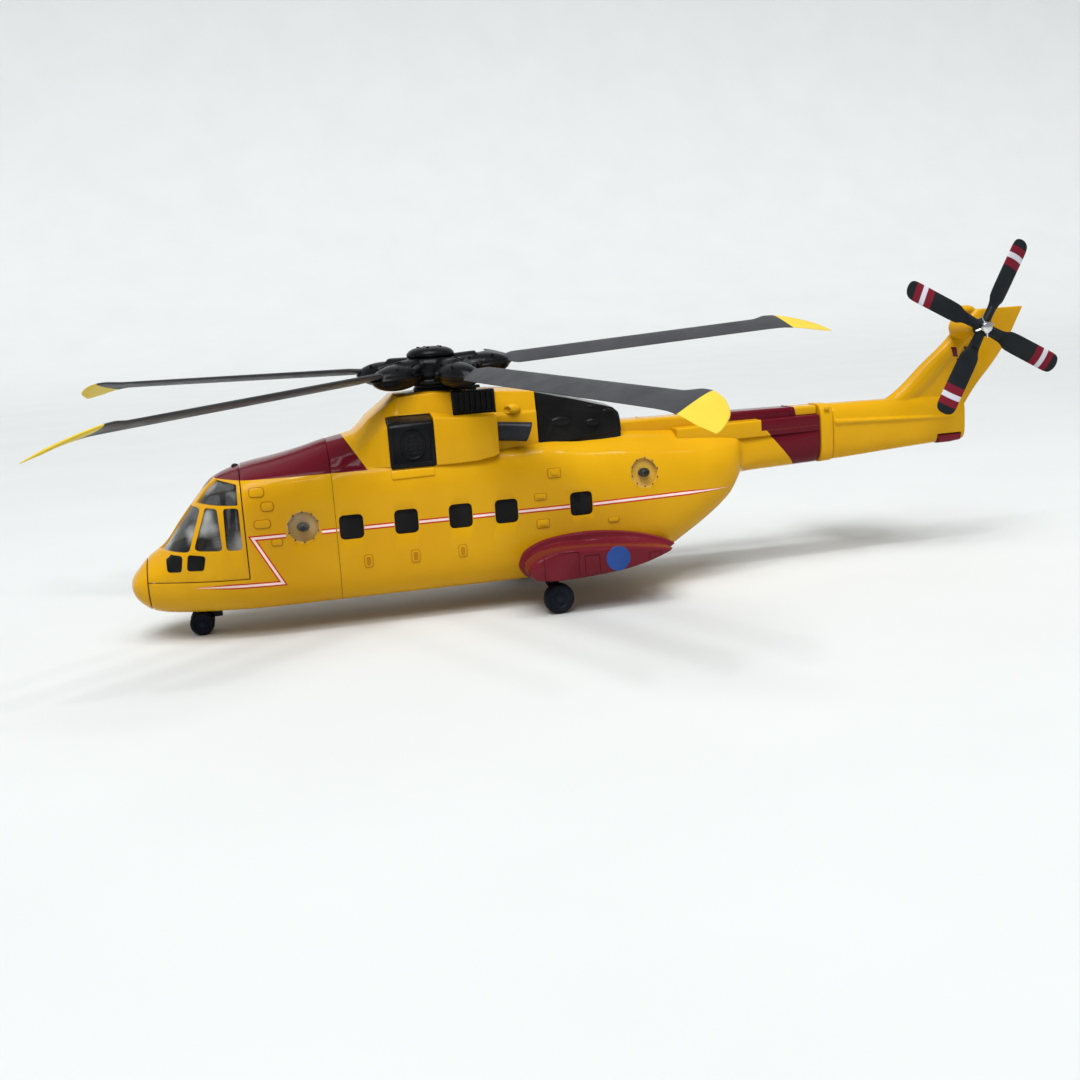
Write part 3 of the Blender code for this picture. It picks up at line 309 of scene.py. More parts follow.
def livery_material():
    """Yellow paint with the maroon roof and tail bands."""
    shade = Shade("livery", YELLOW, 0.18, coat=0.10)
    yellow = paint_finish(shade, YELLOW, YELLOW_DEEP)
    middle = (40.0, 60.0)
    rear = shade.side_of((21.7, 43.3), (27.6, 53.1), middle)
    above_side = shade.side_of((20.0, 43.0), (62.5, 43.1), middle)
    above_brow = shade.side_of((62.0, 43.1), (68.8, 37.0), (75.0, 60.0))
    behind_brow = shade.beyond((-1, 0, 0), -(61.7 + ROTOR_X))
    ahead = shade.every(shade.beyond((1, 0, 0), 61.7 + ROTOR_X), shade.beyond((0, 0, 1), 36.9))
    roof = shade.every(
        rear, shade.some(shade.every(above_side, behind_brow), shade.every(above_brow, ahead))
    )
    upper = shade.inside((-84.0, 60.0), (-104.5, 60.0), (-107.5, 45.95), (-84.0, 46.0))
    step = shade.inside((-94.9, 46.0), (-114.3, 46.0), (-114.3, 42.6), (-94.9, 42.6))
    band = shade.inside((-96.6, 42.6), (-114.3, 42.6), (-114.3, 30.0), (-107.4, 30.0))
    vents = shade.some(
        shade.inside((-159.6, 62.4), (-161.6, 62.2), (-162.6, 59.2), (-160.6, 59.4)),
        shade.inside((-164.4, 62.2), (-166.0, 62.0), (-167.2, 59.4), (-165.4, 59.6)),
        shade.inside((-162.0, 58.7), (-163.6, 58.6), (-164.2, 57.2), (-162.6, 57.3)),
    )
    shade.color(shade.mix(shade.crisp(shade.some(roof, upper, step, band, vents)), yellow, MAROON))
    return shade.material


def paint_material(name, base, deep, coat=0.10):
    shade = Shade(name, base, 0.18, coat=coat)
    shade.color(paint_finish(shade, base, deep))
    return shade.material


def plastic_material(name, color, roughness, grain=0.02, coat=0.0, spread=0.1):
    """Moulded plastic with a fine grain and slightly uneven gloss."""
    shade = Shade(name, color, roughness, coat=coat)
    paler = tuple(min(1.0, value * 1.5 + 0.004) for value in color)
    shade.color(shade.mix(shade.cloud(90.0, 4.0, 0.4, 0.75), color, paler))
    low, high = max(roughness - spread, 0.05), roughness + spread
    shade.roughness(shade.cloud(240.0, 4.0, 0.3, 0.7, low, high))
    shade.bump(shade.noise(1800.0, 3.0, 0.6), grain)
    return shade.material


def metal_material(name, color, roughness):
    shade = Shade(name, color, roughness, metallic=1.0)
    darker = tuple(value * 0.72 for value in color)
    shade.color(shade.mix(shade.cloud(420.0, 5.0, 0.35, 0.7, rough=0.7), color, darker))
    shade.roughness(shade.cloud(900.0, 3.0, 0.3, 0.7, roughness * 0.7, roughness * 1.4))
    shade.bump(shade.noise(2500.0, 2.0), 0.01)
    return shade.material


def glass_material(name, tint, reflection_streak, alpha, reflection_streak_alpha):
    """Clear moulding with its tint and pale streaks of painted reflection, where it is also less see-through.
    """
    shade = Shade(name, tint, 0.06, coat=0.3, Alpha=alpha, IOR=1.49)
    shade.set("Specular IOR Level", 0.5)
    shade.roughness(shade.cloud(210.0, 4.0, 0.45, 0.7, 0.03, 0.12))
    reflection_pattern = shade.noise(72.0, 2.0)
    # The pale streaks mixed into the colour are painted reflection.
    shade.color(shade.mix(shade.stretch(reflection_pattern, 0.50, 0.62), tint, reflection_streak))
    shade.feed(shade.shader.inputs["Alpha"], shade.stretch(reflection_pattern, 0.50, 0.62, alpha, reflection_streak_alpha))
    shade.bump(shade.noise(300.0, 1.0), 0.02)
    return shade.material


def stage_material():
    dull, pale = (0.62, 0.635, 0.63), (0.64, 0.655, 0.65)
    shade = Shade("stage_paper", dull, 0.75)
    shade.color(shade.mix(shade.cloud(14.0, 4.0, 0.3, 0.7), dull, pale))
    return shade.material


# Objects.

def shade_smoothly(mesh, angle):
    mesh.shade_smooth()
    mesh.set_sharp_from_angle(angle=math.radians(angle))


def new_object(name, bm, finish, smooth=40.0, outward=True):
    """An object made of a bmesh. finish is a key of MATERIALS or a material."""
    if outward:
        bmesh.ops.recalc_face_normals(bm, faces=bm.faces)
    mesh = bpy.data.meshes.new(name)
    bm.to_mesh(mesh)
    bm.free()
    mesh.materials.append(MATERIALS[finish] if isinstance(finish, str) else finish)
    shade_smoothly(mesh, smooth)
    return show(bpy.data.objects.new(name, mesh))


def settle(obj, smooth=40.0):
    """Applies the object's modifiers."""
    graph = bpy.context.evaluated_depsgraph_get()
    mesh = bpy.data.meshes.new_from_object(obj.evaluated_get(graph))
    obj.modifiers.clear()
    obj.data = mesh
    shade_smoothly(mesh, smooth)
    return obj


def drop(obj):
    bpy.data.objects.remove(obj, do_unlink=True)


def cut(obj, other, operation="DIFFERENCE", solver="MANIFOLD", keep=False):
    """Cuts, joins or clips obj with other, a bmesh or an object, and removes other."""
    if isinstance(other, bmesh.types.BMesh):
        other = new_object("tool", other, obj.data.materials[0])
    modifier = obj.modifiers.new("cut", "BOOLEAN")
    modifier.operation = operation
    modifier.solver = solver
    modifier.object = other
    settle(obj)
    if not keep:
        drop(other)
    return obj


def weld(obj, other):
    return cut(obj, other, "UNION", "EXACT")


def bevel(obj, width, segments=3, angle=35.0):
    modifier = obj.modifiers.new("edges", "BEVEL")
    modifier.width = width * MM
    modifier.segments = segments
    modifier.limit_method = "ANGLE"
    modifier.angle_limit = math.radians(angle)
    return settle(obj)


def thicken(obj, thickness):
    modifier = obj.modifiers.new("wall", "SOLIDIFY")
    modifier.thickness = thickness * MM
    modifier.offset = -1.0
    modifier.use_even_offset = True
    return settle(obj)


def place(obj, slot, body=AIR, stands_for=()):
    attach(obj, body)
    if stands_for:
        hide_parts(*stands_for)
    return obj


def join(name, objects):
    """Makes one object of several."""
    bm = bmesh.new()
    materials = []
    for obj in objects:
        part = obj.data.copy()
        part.transform(obj.matrix_world)
        offset = len(materials)
        materials += list(part.materials)
        start = len(bm.faces)
        bm.from_mesh(part)
        bm.faces.ensure_lookup_table()
        for face in bm.faces[start:]:
            face.material_index += offset
        bpy.data.meshes.remove(part)
    mesh = bpy.data.meshes.new(name)
    bm.to_mesh(mesh)
    bm.free()
    for material in materials:
        mesh.materials.append(material)
    for obj in objects:
        drop(obj)
    return show(bpy.data.objects.new(name, mesh))


def mirrored(obj, name):
    """A copy on the other side of the centre plane."""
    mesh = obj.data.copy()
    mesh.transform(Matrix.Scale(-1, 4, (0, 1, 0)))
    mesh.flip_normals()
    return show(bpy.data.objects.new(name, mesh))


# Mesh shapes.

def box(low, high):
    low, high = at(*low), at(*high)
    bm = bmesh.new()
    bmesh.ops.create_cube(bm, size=1.0)
    bmesh.ops.scale(bm, vec=high - low, verts=bm.verts)
    bmesh.ops.translate(bm, vec=(low + high) / 2, verts=bm.verts)
    return bm


def rod(start, end, radius, end_radius=None, sides=40):
    bm = bmesh.new()
    bmesh.ops.create_cone(
        bm, cap_ends=True, segments=sides, radius1=radius * MM,
        radius2=(radius if end_radius is None else end_radius) * MM, depth=(end - start).length,
    )
    bmesh.ops.transform(bm, matrix=facing((start + end) / 2, end - start), verts=bm.verts)
    return bm


def ball(centre, sizes, segments=40, rings=24):
    bm = bmesh.new()
    bmesh.ops.create_uvsphere(bm, u_segments=segments, v_segments=rings, radius=1.0)
    bmesh.ops.scale(bm, vec=Vector(sizes) * MM, verts=bm.verts)
    bmesh.ops.transform(bm, matrix=Matrix.Translation(centre), verts=bm.verts)
    return bm


def prism(outline, y_start, y_end):
    bm = bmesh.new()
    face = bm.faces.new([bm.verts.new(at(x, y_start, z)) for x, z in outline])
    grown = bmesh.ops.extrude_face_region(bm, geom=[face])
    moved = [item for item in grown["geom"] if isinstance(item, bmesh.types.BMVert)]
    bmesh.ops.translate(bm, vec=(0, (y_end - y_start) * MM, 0), verts=moved)
    return bm


def turned(profile, sides=48, matrix=None):
    """A solid turned about Z from a closed run of (radius, height) points."""
    bm = bmesh.new()
    rings = []
    for r, z in profile:
        if r < 1e-6:
            rings.append([bm.verts.new((0, 0, z * MM))])
            continue
        angles = [math.tau * i / sides for i in range(sides)]
        rings.append([bm.verts.new((r * MM * math.cos(a), r * MM * math.sin(a), z * MM)) for a in angles])
    closed = len(rings[0]) > 1
    pairs = zip(rings, rings[1:] + rings[:1]) if closed else zip(rings, rings[1:])
    for first, second in pairs:
        for i in range(sides):
            j = (i + 1) % sides
            corners = [row[k % len(row)] for row, k in ((first, i), (first, j), (second, j), (second, i))]
            unique = list(dict.fromkeys(corners))
            if len(unique) > 2:
                bm.faces.new(unique)
    if matrix is not None:
        bmesh.ops.transform(bm, matrix=matrix, verts=bm.verts)
    return bm


def loft(rings, closed=True, caps=True):
    bm = bmesh.new()
    loops = [[bm.verts.new(p) for p in ring] for ring in rings]
    count = len(loops[0])
    for first, second in zip(loops, loops[1:]):
        for i in range(count if closed else count - 1):
            j = (i + 1) % count
            bm.faces.new((first[i], first[j], second[j], second[i]))
    if closed and caps:
        bm.faces.new(loops[0][::-1])
        bm.faces.new(loops[-1])
    return bm


def rounded(points, radius, steps=5):
    """Rounds the corners of an outline of (x, z) points. radius may be one number or a list."""
    outline = []
    count = len(points)
    for i, corner in enumerate(points):
        r = radius[i] if isinstance(radius, (list, tuple)) else radius
        corner = Vector(corner)
        before = Vector(points[i - 1]) - corner
        after = Vector(points[(i + 1) % count]) - corner
        angle = before.angle(after)
        reach = min(r / math.tan(angle / 2), before.length * 0.45, after.length * 0.45)
        start, end = corner + before.normalized() * reach, corner + after.normalized() * reach
        for step in range(steps + 1):
            t = step / steps
            outline.append(tuple(start * (1 - t) ** 2 + corner * 2 * t * (1 - t) + end * t * t))
    return outline


def smooth_outline(points, count):
    """A closed smooth curve through points, as evenly spaced points."""
    loop = [Vector(p) for p in points]
    n = len(loop)
    dense = []
    for i in range(n):
        a, b, c, d = loop[i - 1], loop[i], loop[(i + 1) % n], loop[(i + 2) % n]
        for step in range(12):
            t = step / 12
            dense.append(
                b + (c - a) * 0.5 * t + (a * 2 - b * 5 + c * 4 - d) * 0.5 * t * t
                + (b * 3 - a - c * 3 + d) * 0.5 * t ** 3
            )
    lengths = [0.0]
    for first, second in zip(dense, dense[1:] + dense[:1]):
        lengths.append(lengths[-1] + (second - first).length)
    dense.append(dense[0])
    picked = []
    for k in range(count):
        want = lengths[-1] * k / count
        i = max(0, int(np.searchsorted(lengths, want, side="right")) - 1)
        share = (want - lengths[i]) / max(lengths[i + 1] - lengths[i], 1e-9)
        picked.append(tuple(dense[i].lerp(dense[i + 1], share)))
    return picked


# The body's shape: profiles as (station, value), with a smooth curve through the points.

KEEL = (
    (TAIL_END, 33.9), (-143, 32.8), (-120, 31.5), (-100, 30.8), (-89.6, 30.4), (-87.7, 29.5),
    (-83.3, 23.5), (-66, 11.4), (-61, 8.4), (-55, 7.0), (66, 7.0), (72, 7.1), (77, 7.5),
    (NOSE_CAP_SEAM, 8.6), (84, 10.3), (85.5, 12.0), (NOSE_TIP, 13.6),
)
SIDE = (
    (TAIL_END, 2.7), (-143, 3.7), (-120, 5.2), (-100, 6.4), (-89.4, 7.1), (-88, 8.0), (-86.6, 10.0),
    (-84, 12.0), (-79, 13.8), (-72, 15.2), (-65, 16.0), (-50, 17.6), (-36, 18.6), (45, 18.6),
    (55, 18.2), (62, 17.0), (70, 14.4), (77, 11.2), (NOSE_CAP_SEAM, 9.0), (84, 7.2), (85.5, 5.2),
    (NOSE_TIP, 3.2),
)
WAIST = (
    (TAIL_END, 40.5), (-120, 40), (-100, 37.5), (-88, 34.6), (-70, 29.6), (-50, 25), (50, 24),
    (70, 19.0), (NOSE_TIP, 15.3),
)
DECK = (
    (TAIL_END, 42.8), (-112, 43), (-100, 43.4), (-84, 44.4), (-64, 45.6), (-51, 46.2),
    (-30, 46.2), (0, 45.8), (31, 45.6), (54.9, 44.6), (60, 42), (66, 36), (72, 30.2),
    (76.6, 25.0), (NOSE_CAP_SEAM, 21.7), (84, 19.4), (85.5, 17.8), (NOSE_TIP, 16.6),
)
ROOF = (
    (23.5, 52.5), (31.3, 50.9), (38.1, 49.1), (45, 47.6), (54.9, 45.8), (62.3, 43), (67.1, 38),
    (72, 32.1), (76.6, 26.3), (NOSE_CAP_SEAM, 22.7), (84, 20.1), (85.5, 18.3), (NOSE_TIP, 17.0),
)
SQUARENESS = (
    (TAIL_END, 2.8), (-112, 2.8), (-68, 2.7), (-50, 3.2), (-30, 4), (50, 4), (60, 3.4), (75, 2.5),
    (NOSE_TIP, 2.1),
)
UPPER_SQUARENESS = (
    (TAIL_END, 2.8), (-112, 2.8), (-90, 2.6), (-84, 2.1), (-68, 2.4), (-50, 3.2), (-38, 3.8),
    (-27, 6.0), (50, 6.0), (60, 4.0), (75, 2.5), (NOSE_TIP, 2.1),
)
SHOULDER = 0.83
ROOF_POWER = 2.2
FLAT_KEEL = 0.27


def along(profile, station):
    """The profile's value at a station: a cubic curve that never swings past its points."""
    xs = np.array([p[0] for p in profile], float)
    ys = np.array([p[1] for p in profile], float)
    slopes = np.diff(ys) / np.diff(xs)
    tangents = np.concatenate(([slopes[0]], np.zeros(len(xs) - 2), [slopes[-1]]))
    for i in range(1, len(xs) - 1):
        before, after = slopes[i - 1], slopes[i]
        if before * after > 0:
            tangents[i] = 2 * before * after / (before + after)
    x = min(max(station, xs[0]), xs[-1])
    i = min(int(np.searchsorted(xs, x, side="right")) - 1, len(xs) - 2)
    width = xs[i + 1] - xs[i]
    t = (x - xs[i]) / width
    value = ys[i] * (1 + 2 * t) * (1 - t) ** 2 + tangents[i] * width * t * (1 - t) ** 2
    value += ys[i + 1] * t * t * (3 - 2 * t) + tangents[i + 1] * width * t * t * (t - 1)
    return float(value)


def half_section(station, roof, grow=0.0, centre=0.0, lower_steps=26, upper_steps=11):
    """(y, z) points up the port side from the keel to the top, moved out by grow."""
    keel, side = along(KEEL, station), along(SIDE, station)
    waist, deck = along(WAIST, station), along(DECK, station)
    lower_power, power = along(SQUARENESS, station), along(UPPER_SQUARENESS, station)
    top_angle = math.acos(SHOULDER ** (power / 2))
    points = [(centre, keel), (side * FLAT_KEEL, keel)]
    for step in range(1, lower_steps + 1):
        angle = -math.pi / 2 + (top_angle + math.pi / 2) * (0.12 + 0.88 * step / lower_steps)
        reach = (waist - keel) if angle < 0 else (deck - waist)
        bend = 2 / (lower_power if angle < 0 else power)
        y = side * math.cos(angle) ** bend
        points.append((y, waist + reach * math.copysign(abs(math.sin(angle)) ** bend, angle)))
    crease = points[-1][1]
    top = along(ROOF, station) if roof else deck
    rise = ROOF_POWER if roof else power
    for step in range(1, upper_steps + 1):
        share = 1 - step / upper_steps
        points.append((max(side * SHOULDER * share, centre), crease + (top - crease) * (1 - share ** rise)))
    if not grow:
        return points
    moved = []
    for i, (y, z) in enumerate(points):
        before, after = points[max(i - 1, 0)], points[min(i + 1, len(points) - 1)]
        run = Vector((after[0] - before[0], after[1] - before[1])).normalized()
        out = Vector((run.y, -run.x))
        if i == 0:
            out = Vector((0, -1))
        if i == len(points) - 1:
            out = Vector((0, 1))
        moved.append((max(y + out.x * grow, centre), z + out.y * grow))
    return moved


def ring(station, roof, grow=0.0):
    half = half_section(station, roof, grow)
    loop = [at(station, y, z) for y, z in half]
    return loop + [at(station, -y, z) for y, z in half[-2:0:-1]]


def side_of_body(station, z):
    waist = along(WAIST, station)
    reach = (waist - along(KEEL, station)) if z < waist else (along(DECK, station) - waist)
    power = along(SQUARENESS if z < waist else UPPER_SQUARENESS, station)
    return along(SIDE, station) * (1 - abs((z - waist) / reach) ** power) ** (1 / power)


def spread(start, end, step):
    """Evenly spaced stations from start to end, both included."""
    count = max(1, round(abs(end - start) / step))
    return [start + (end - start) * i / count for i in range(count + 1)]


FRONT_STATIONS = spread(NOSE_CAP_SEAM - GAP / 2, 55.0, 0.9) + spread(54.0, BODY_SEAM + SEAM / 2, 2.2)
CABIN_STATIONS = (
    spread(BODY_SEAM - SEAM / 2, -46.0, 3.0) + spread(-47.2, -80.0, 1.3) + spread(-80.6, -92.0, 0.6)
    + spread(-94.0, FOLD_FRONT + GAP / 2, 2.2)
)


def conforming_shell(name, grow, depth, stations=None, roof=False):
    """A thin closed shell whose outer face lies grow millimetres above the body."""
    if stations is None:
        stations = spread(80.0, BODY_SEAM, 1.2) + CABIN_STATIONS
    outer = loft([ring(x, roof, grow) for x in stations], caps=False)
    shell = new_object(name, outer, "black")
    return thicken(shell, depth)


# Front body.

def make_nose():
    stations = [NOSE_TIP, 86.0, 85.7, 85.3, 84.7, 84.0, 83.2, 82.4, NOSE_CAP_SEAM + GAP / 2]
    bm = loft([ring(x, True) for x in stations])
    nose = new_object("nose_cap_skin", bm, "livery", 60.0)
    bevel(nose, 0.35, 4, 50)
    place(nose, "yellow_paint", stands_for=["nose_cap"])


def front_shell(name):
    sheet = loft([ring(x, True) for x in FRONT_STATIONS], caps=False)
    return thicken(new_object(name, sheet, "livery"), WALL)


PANES = {
    "upper": (((61.9, 43.0), (68.3, 37.1), (56.0, 36.9), (55.9, 42.2)), (1.6, 0.8, 0.5, 0.5), 5.2),
    "front": (((65.9, 36.2), (69.8, 25.2), (84.0, 25.0), (84.0, 36.2)), (0.8, 1.4, 0.5, 0.5), 0.7),
    "side": (((64.6, 36.3), (68.6, 25.5), (61.1, 25.2), (61.5, 36.3)), (0.9, 1.3, 1.3, 0.9), 10.0),
    "rear": (((59.9, 36.3), (60.1, 25.2), (56.0, 25.1), (56.0, 36.3)), (0.9, 1.2, 1.2, 0.9), 10.0),
}
CHIN_PANES = (
    ((76.2, 24.6), (71.6, 24.4), (72.3, 20.2), (76.0, 20.1)),
    ((70.2, 24.7), (65.6, 24.2), (66.5, 20.4), (70.9, 20.4)),
)


def make_canopy():
    canopy = front_shell("canopy_frame")
    low = (CANOPY_REAR + GAP / 2, -30, CANOPY_SILL + GAP / 2)
    cut(canopy, box(low, (NOSE_TIP + 5, 30, 70)), "INTERSECT")
    for outline, radii, inner in PANES.values():
        for _, side in SIDES:
            cut(canopy, prism(rounded(outline, list(radii), 6), side * inner, side * 24.0))
    bevel(canopy, 0.16, 2, 40)
    place(canopy, "yellow_paint", stands_for=["cockpit_canopy"])

    stations = spread(79.5, CANOPY_REAR + 0.8, 0.9)
    sheet = loft([ring(x, True, -0.55) for x in stations], caps=False)
    glass = thicken(new_object("canopy_glass", sheet, "glass"), 0.5)
    cut(glass, box((CANOPY_REAR, -30, 24.4), (NOSE_TIP, 30, 60)), "INTERSECT")
    place(glass, "clear_plastic", stands_for=["cockpit_glazing"])

    shell = front_shell("front_skin")
    module = box((CANOPY_REAR - GAP / 2, -30, CANOPY_SILL - GAP / 2), (NOSE_TIP + 5, 30, 70))
    cut(shell, module)
    cut(shell, rod(at(NOSE_GEAR, 0, 4), at(NOSE_GEAR, 0, 12), 1.5))
    return shell


def bubble_frame(station, z, side):
    """Centre and outward direction of a bubble window."""
    y, step = side_of_body(station, z), 0.5
    ahead = (side_of_body(station + step, z) - side_of_body(station - step, z)) / (2 * step)
    above = (side_of_body(station, z + step) - side_of_body(station, z - step)) / (2 * step)
    normal = Vector((-ahead, 1.0, -above)).normalized()
    normal.y *= side
    return at(station, side * y, z), normal


BUBBLES = {"front": (39.9, 29.8), "rear": (-55.4, 35.2)}
BUBBLE_RADIUS = 4.5
DOME_RADIUS, DOME_FOOT, DOME_RISE = 3.35, 0.32, 1.15
PIN_CIRCLE, PIN_RADIUS = 4.05, 0.22


def bubble_profile():
    dome = []
    for step in range(9):
        angle = math.pi / 2 * step / 8
        dome.append((DOME_RADIUS * math.sin(angle), DOME_FOOT + DOME_RISE * math.cos(angle)))
    outer = dome + [(3.7, 0.38), (BUBBLE_RADIUS - 0.15, 0.38), (BUBBLE_RADIUS, 0.22)]
    inner = [(BUBBLE_RADIUS, -0.15), (BUBBLE_RADIUS - 0.4, -0.5), (3.5, -0.5), (3.0, 0.1)]
    return outer + inner + [(r * 0.86, h * 0.9 - 0.18) for r, h in dome[-2::-1]]


def make_bubble(name, matrix, normal, lining):
    """A domed window with its pins, and the dark stud on the lining behind it."""
    bubble = new_object(f"bubble_{name}", turned(bubble_profile(), 56, matrix), "bubble_glass", 30)
    place(bubble, "clear_plastic", stands_for=[f"bubble_window_{name}"])
    pins = []
    for i in range(10):
        angle = math.tau * (i + 0.5) / 10
        foot = matrix @ ((spoke(angle) * PIN_CIRCLE + Vector((0, 0, 0.34))) * MM)
        pins.append(new_object("pin", ball(foot, (PIN_RADIUS,) * 3, 12, 8), "dark_metal"))
    place(join(f"bubble_pins_{name}", pins), "dark_metal")
    back = matrix @ (Vector((0, 0, -1.6)) * MM)
    disc = rod(back - normal * 0.3 * MM, back + normal * 0.3 * MM, 4.6, sides=40)
    place(new_object(f"bubble_back_{name}", disc, lining), "grey_plastic")
    core = ball(back + normal * 1.2 * MM, (1.7, 1.7, 1.3), 32, 20)
    place(new_object(f"bubble_stud_{name}", core, "black"), "black_plastic")


def make_bubbles(front, cabins):
    for place_name, (station, z) in BUBBLES.items():
        for side_name, side in SIDES:
            centre, normal = bubble_frame(station, z, side)
            shell = front if place_name == "front" else cabins[side_name]
            cut(shell, rod(centre - normal * 3 * MM, centre + normal * 3 * MM, BUBBLE_RADIUS - 0.5))
            name = f"{place_name}_{side_name}"
            make_bubble(name, facing(centre, normal), normal, f"bubble_{place_name}")


# Cabin.

WINDOW_STATIONS = (27.3, 12.6, -2.2, -14.9, -36.1)
WINDOW_HEIGHT = 28.5
WINDOW_SIZE = (6.4, 6.6)


def window_outline(station, spare):
    half_w, half_h = (WINDOW_SIZE[0] + spare) / 2, (WINDOW_SIZE[1] + spare) / 2
    corners = [(-half_w, -half_h), (half_w, -half_h), (half_w, half_h), (-half_w, half_h)]
    return rounded([(station + x, WINDOW_HEIGHT + z) for x, z in corners], 1.5, 6)


BELLY_SCREW_STATIONS = (20.0, -40.0)
BELLY_SCREW_Y = 6.0


def make_cabin():
    cabins = {}
    for side_name, side in SIDES:
        rings = []
        for station in CABIN_STATIONS:
            half = half_section(station, False, centre=GAP / 2)
            rings.append([at(station, side * y, z) for y, z in half][::-side])
        sheet = loft(rings, closed=False)
        shell = new_object(f"cabin_skin_{side_name}", sheet, "livery", outward=False)
        thicken(shell, WALL)
        for station in WINDOW_STATIONS:
            cut(shell, prism(window_outline(station, 0.0), side * 14.0, side * 22.0))
        for x in BELLY_SCREW_STATIONS:
            y = side * BELLY_SCREW_Y
            cut(shell, rod(at(x, y, 4), at(x, y, 10), 1.5, sides=24))
        cabins[side_name] = shell
    return cabins


def make_windows():
    """Dark panes let into the cabin's side, each with a soft edge."""
    skin = conforming_shell("pane_skin", -0.22, 0.9, spread(34, -44, 2.0))
    panes = []
    for station in WINDOW_STATIONS:
        pane = new_object("pane", prism(window_outline(station, -0.12), 10.0, 22.0), "gloss_black")
        cut(pane, skin, "INTERSECT", keep=True)
        panes.append(bevel(pane, 0.14, 2, 40))
    drop(skin)
    left = join("cabin_windows_left", panes)
    shade_smoothly(left.data, 40)
    place(mirrored(left, "cabin_windows_right"), "black_plastic", stands_for=["window_strip_right"])
    place(left, "black_plastic", stands_for=["window_strip_left"])


# Raised and painted details.

def make_roof_bump():
    bump = new_object("roof_bump", ball(at(56.0, 0, 45.4), (1.0, 0.8, 0.75), 24, 16), "black")
    place(bump, "black_plastic")


def both_sides_piece(left, name, slot):
    place(mirrored(left, f"{name}_right"), slot)
    left.name = f"{name}_left"
    place(left, slot)


def conform(name, outlines, grow, material, slot, edge=0.0, depth=0.25, y_start=2.0):
    """Plates cut from the skin, one for each outline, standing grow above it on both sides."""
    skin = conforming_shell("skin", grow, grow + depth)
    plates = []
    for outline in outlines:
        plate = new_object("plate", prism(outline, y_start, 24.0), material)
        cut(plate, skin, "INTERSECT", keep=True)
        if edge:
            bevel(plate, edge, 2, 50)
        plates.append(plate)
    drop(skin)
    joined = join(f"{name}_left", plates)
    shade_smoothly(joined.data, 35)
    both_sides_piece(joined, name, slot)


def stripe_outline(path, widths):
    """A ribbon along (station, z) points with pointed corners. widths are half widths."""
    left, right = [], []
    for i, point in enumerate(path):
        here = Vector(point)
        before = (here - Vector(path[i - 1])).normalized() if i else None
        after = (Vector(path[i + 1]) - here).normalized() if i < len(path) - 1 else None
        before, after = before or after, after or before
        bisector = (before + after).normalized()
        normal = Vector((-bisector.y, bisector.x))
        reach = widths[i] / max(normal.dot(Vector((-before.y, before.x))), 0.35)
        left.append(tuple(here + normal * reach))
        right.append(tuple(here - normal * reach))
    return left + right[::-1]


def ribbons(path, widths, breaks):
    """Cuts the straight last run of a ribbon where windows and bubbles interrupt it."""
    pieces = []
    head, (tail_start, tail_end) = path[:-1], (path[-2], path[-1])
    spans, start = [], tail_start[0]
    for high, low in breaks:
        spans.append((start, high))
        start = low
    spans.append((start, tail_end[0]))

    def on_run(x):
        share = (x - tail_start[0]) / (tail_end[0] - tail_start[0])
        z = tail_start[1] + (tail_end[1] - tail_start[1]) * share
        taper = min(1.0, abs(x - tail_end[0]) / 13.0)
        return (x, z), max(widths[-2] * taper, 0.02)

    first, width = on_run(spans[0][1])
    pieces.append((list(head) + [first], list(widths[:-1]) + [width]))
    for high, low in spans[1:]:
        stops = [high, low] if low > tail_end[0] + 13 else [high, tail_end[0] + 13.0, low]
        run = [on_run(x) for x in stops]
        pieces.append(([p for p, _ in run], [w for _, w in run]))
    return pieces


STRIPE = ((69.0, 15.7), (46.5, 15.3), (53.2, 28.0), (-82.0, 28.0))


def make_stripe():
    breaks = [(44.6, 35.2), (31.5, 31.1)]
    for station in WINDOW_STATIONS:
        breaks.append((station + 3.35, station - 3.35))
    path = [STRIPE[0], (60.0, 15.55), *STRIPE[1:]]
    for name, width, grow, material, slot in (
        ("stripe_edge", 0.68, 0.035, "red_line", "maroon_paint"),
        ("stripe_core", 0.32, 0.06, "pale_line", "maroon_paint"),
    ):
        widths = [0.05, width, width, width, 0.02]
        if name == "stripe_core":
            widths[0] = 0.02
        outlines = [stripe_outline(p, w) for p, w in ribbons(path, widths, breaks)]
        pieces = []
        for outline in outlines:
            pieces += split_ribbon(outline)
        conform(name, pieces, grow, material, slot, depth=0.12)


def split_ribbon(outline):
    """The convex four-sided pieces of a ribbon's outline."""
    half = len(outline) // 2
    left, right = outline[:half], outline[half:][::-1]
    return [(left[i], left[i + 1], right[i + 1], right[i]) for i in range(half - 1)]


def plate_outline(x, z, width, height, radius=0.5):
    w, h = width / 2, height / 2
    corners = [(-w, -h), (w, -h), (w, h), (-w, h)]
    return rounded([(x + a, z + b) for a, b in corners], radius, 4)


def moved_out(outline, distance):
    """The outline with each point moved away from its middle."""
    middle = middle_of(outline)
    return [tuple(Vector(p) + (Vector(p) - middle).normalized() * distance) for p in outline]


# Width of the ring of painted shadow round each hatch.
SHADOW_RIM_WIDTH = 0.28
HATCH_RISE = 0.28


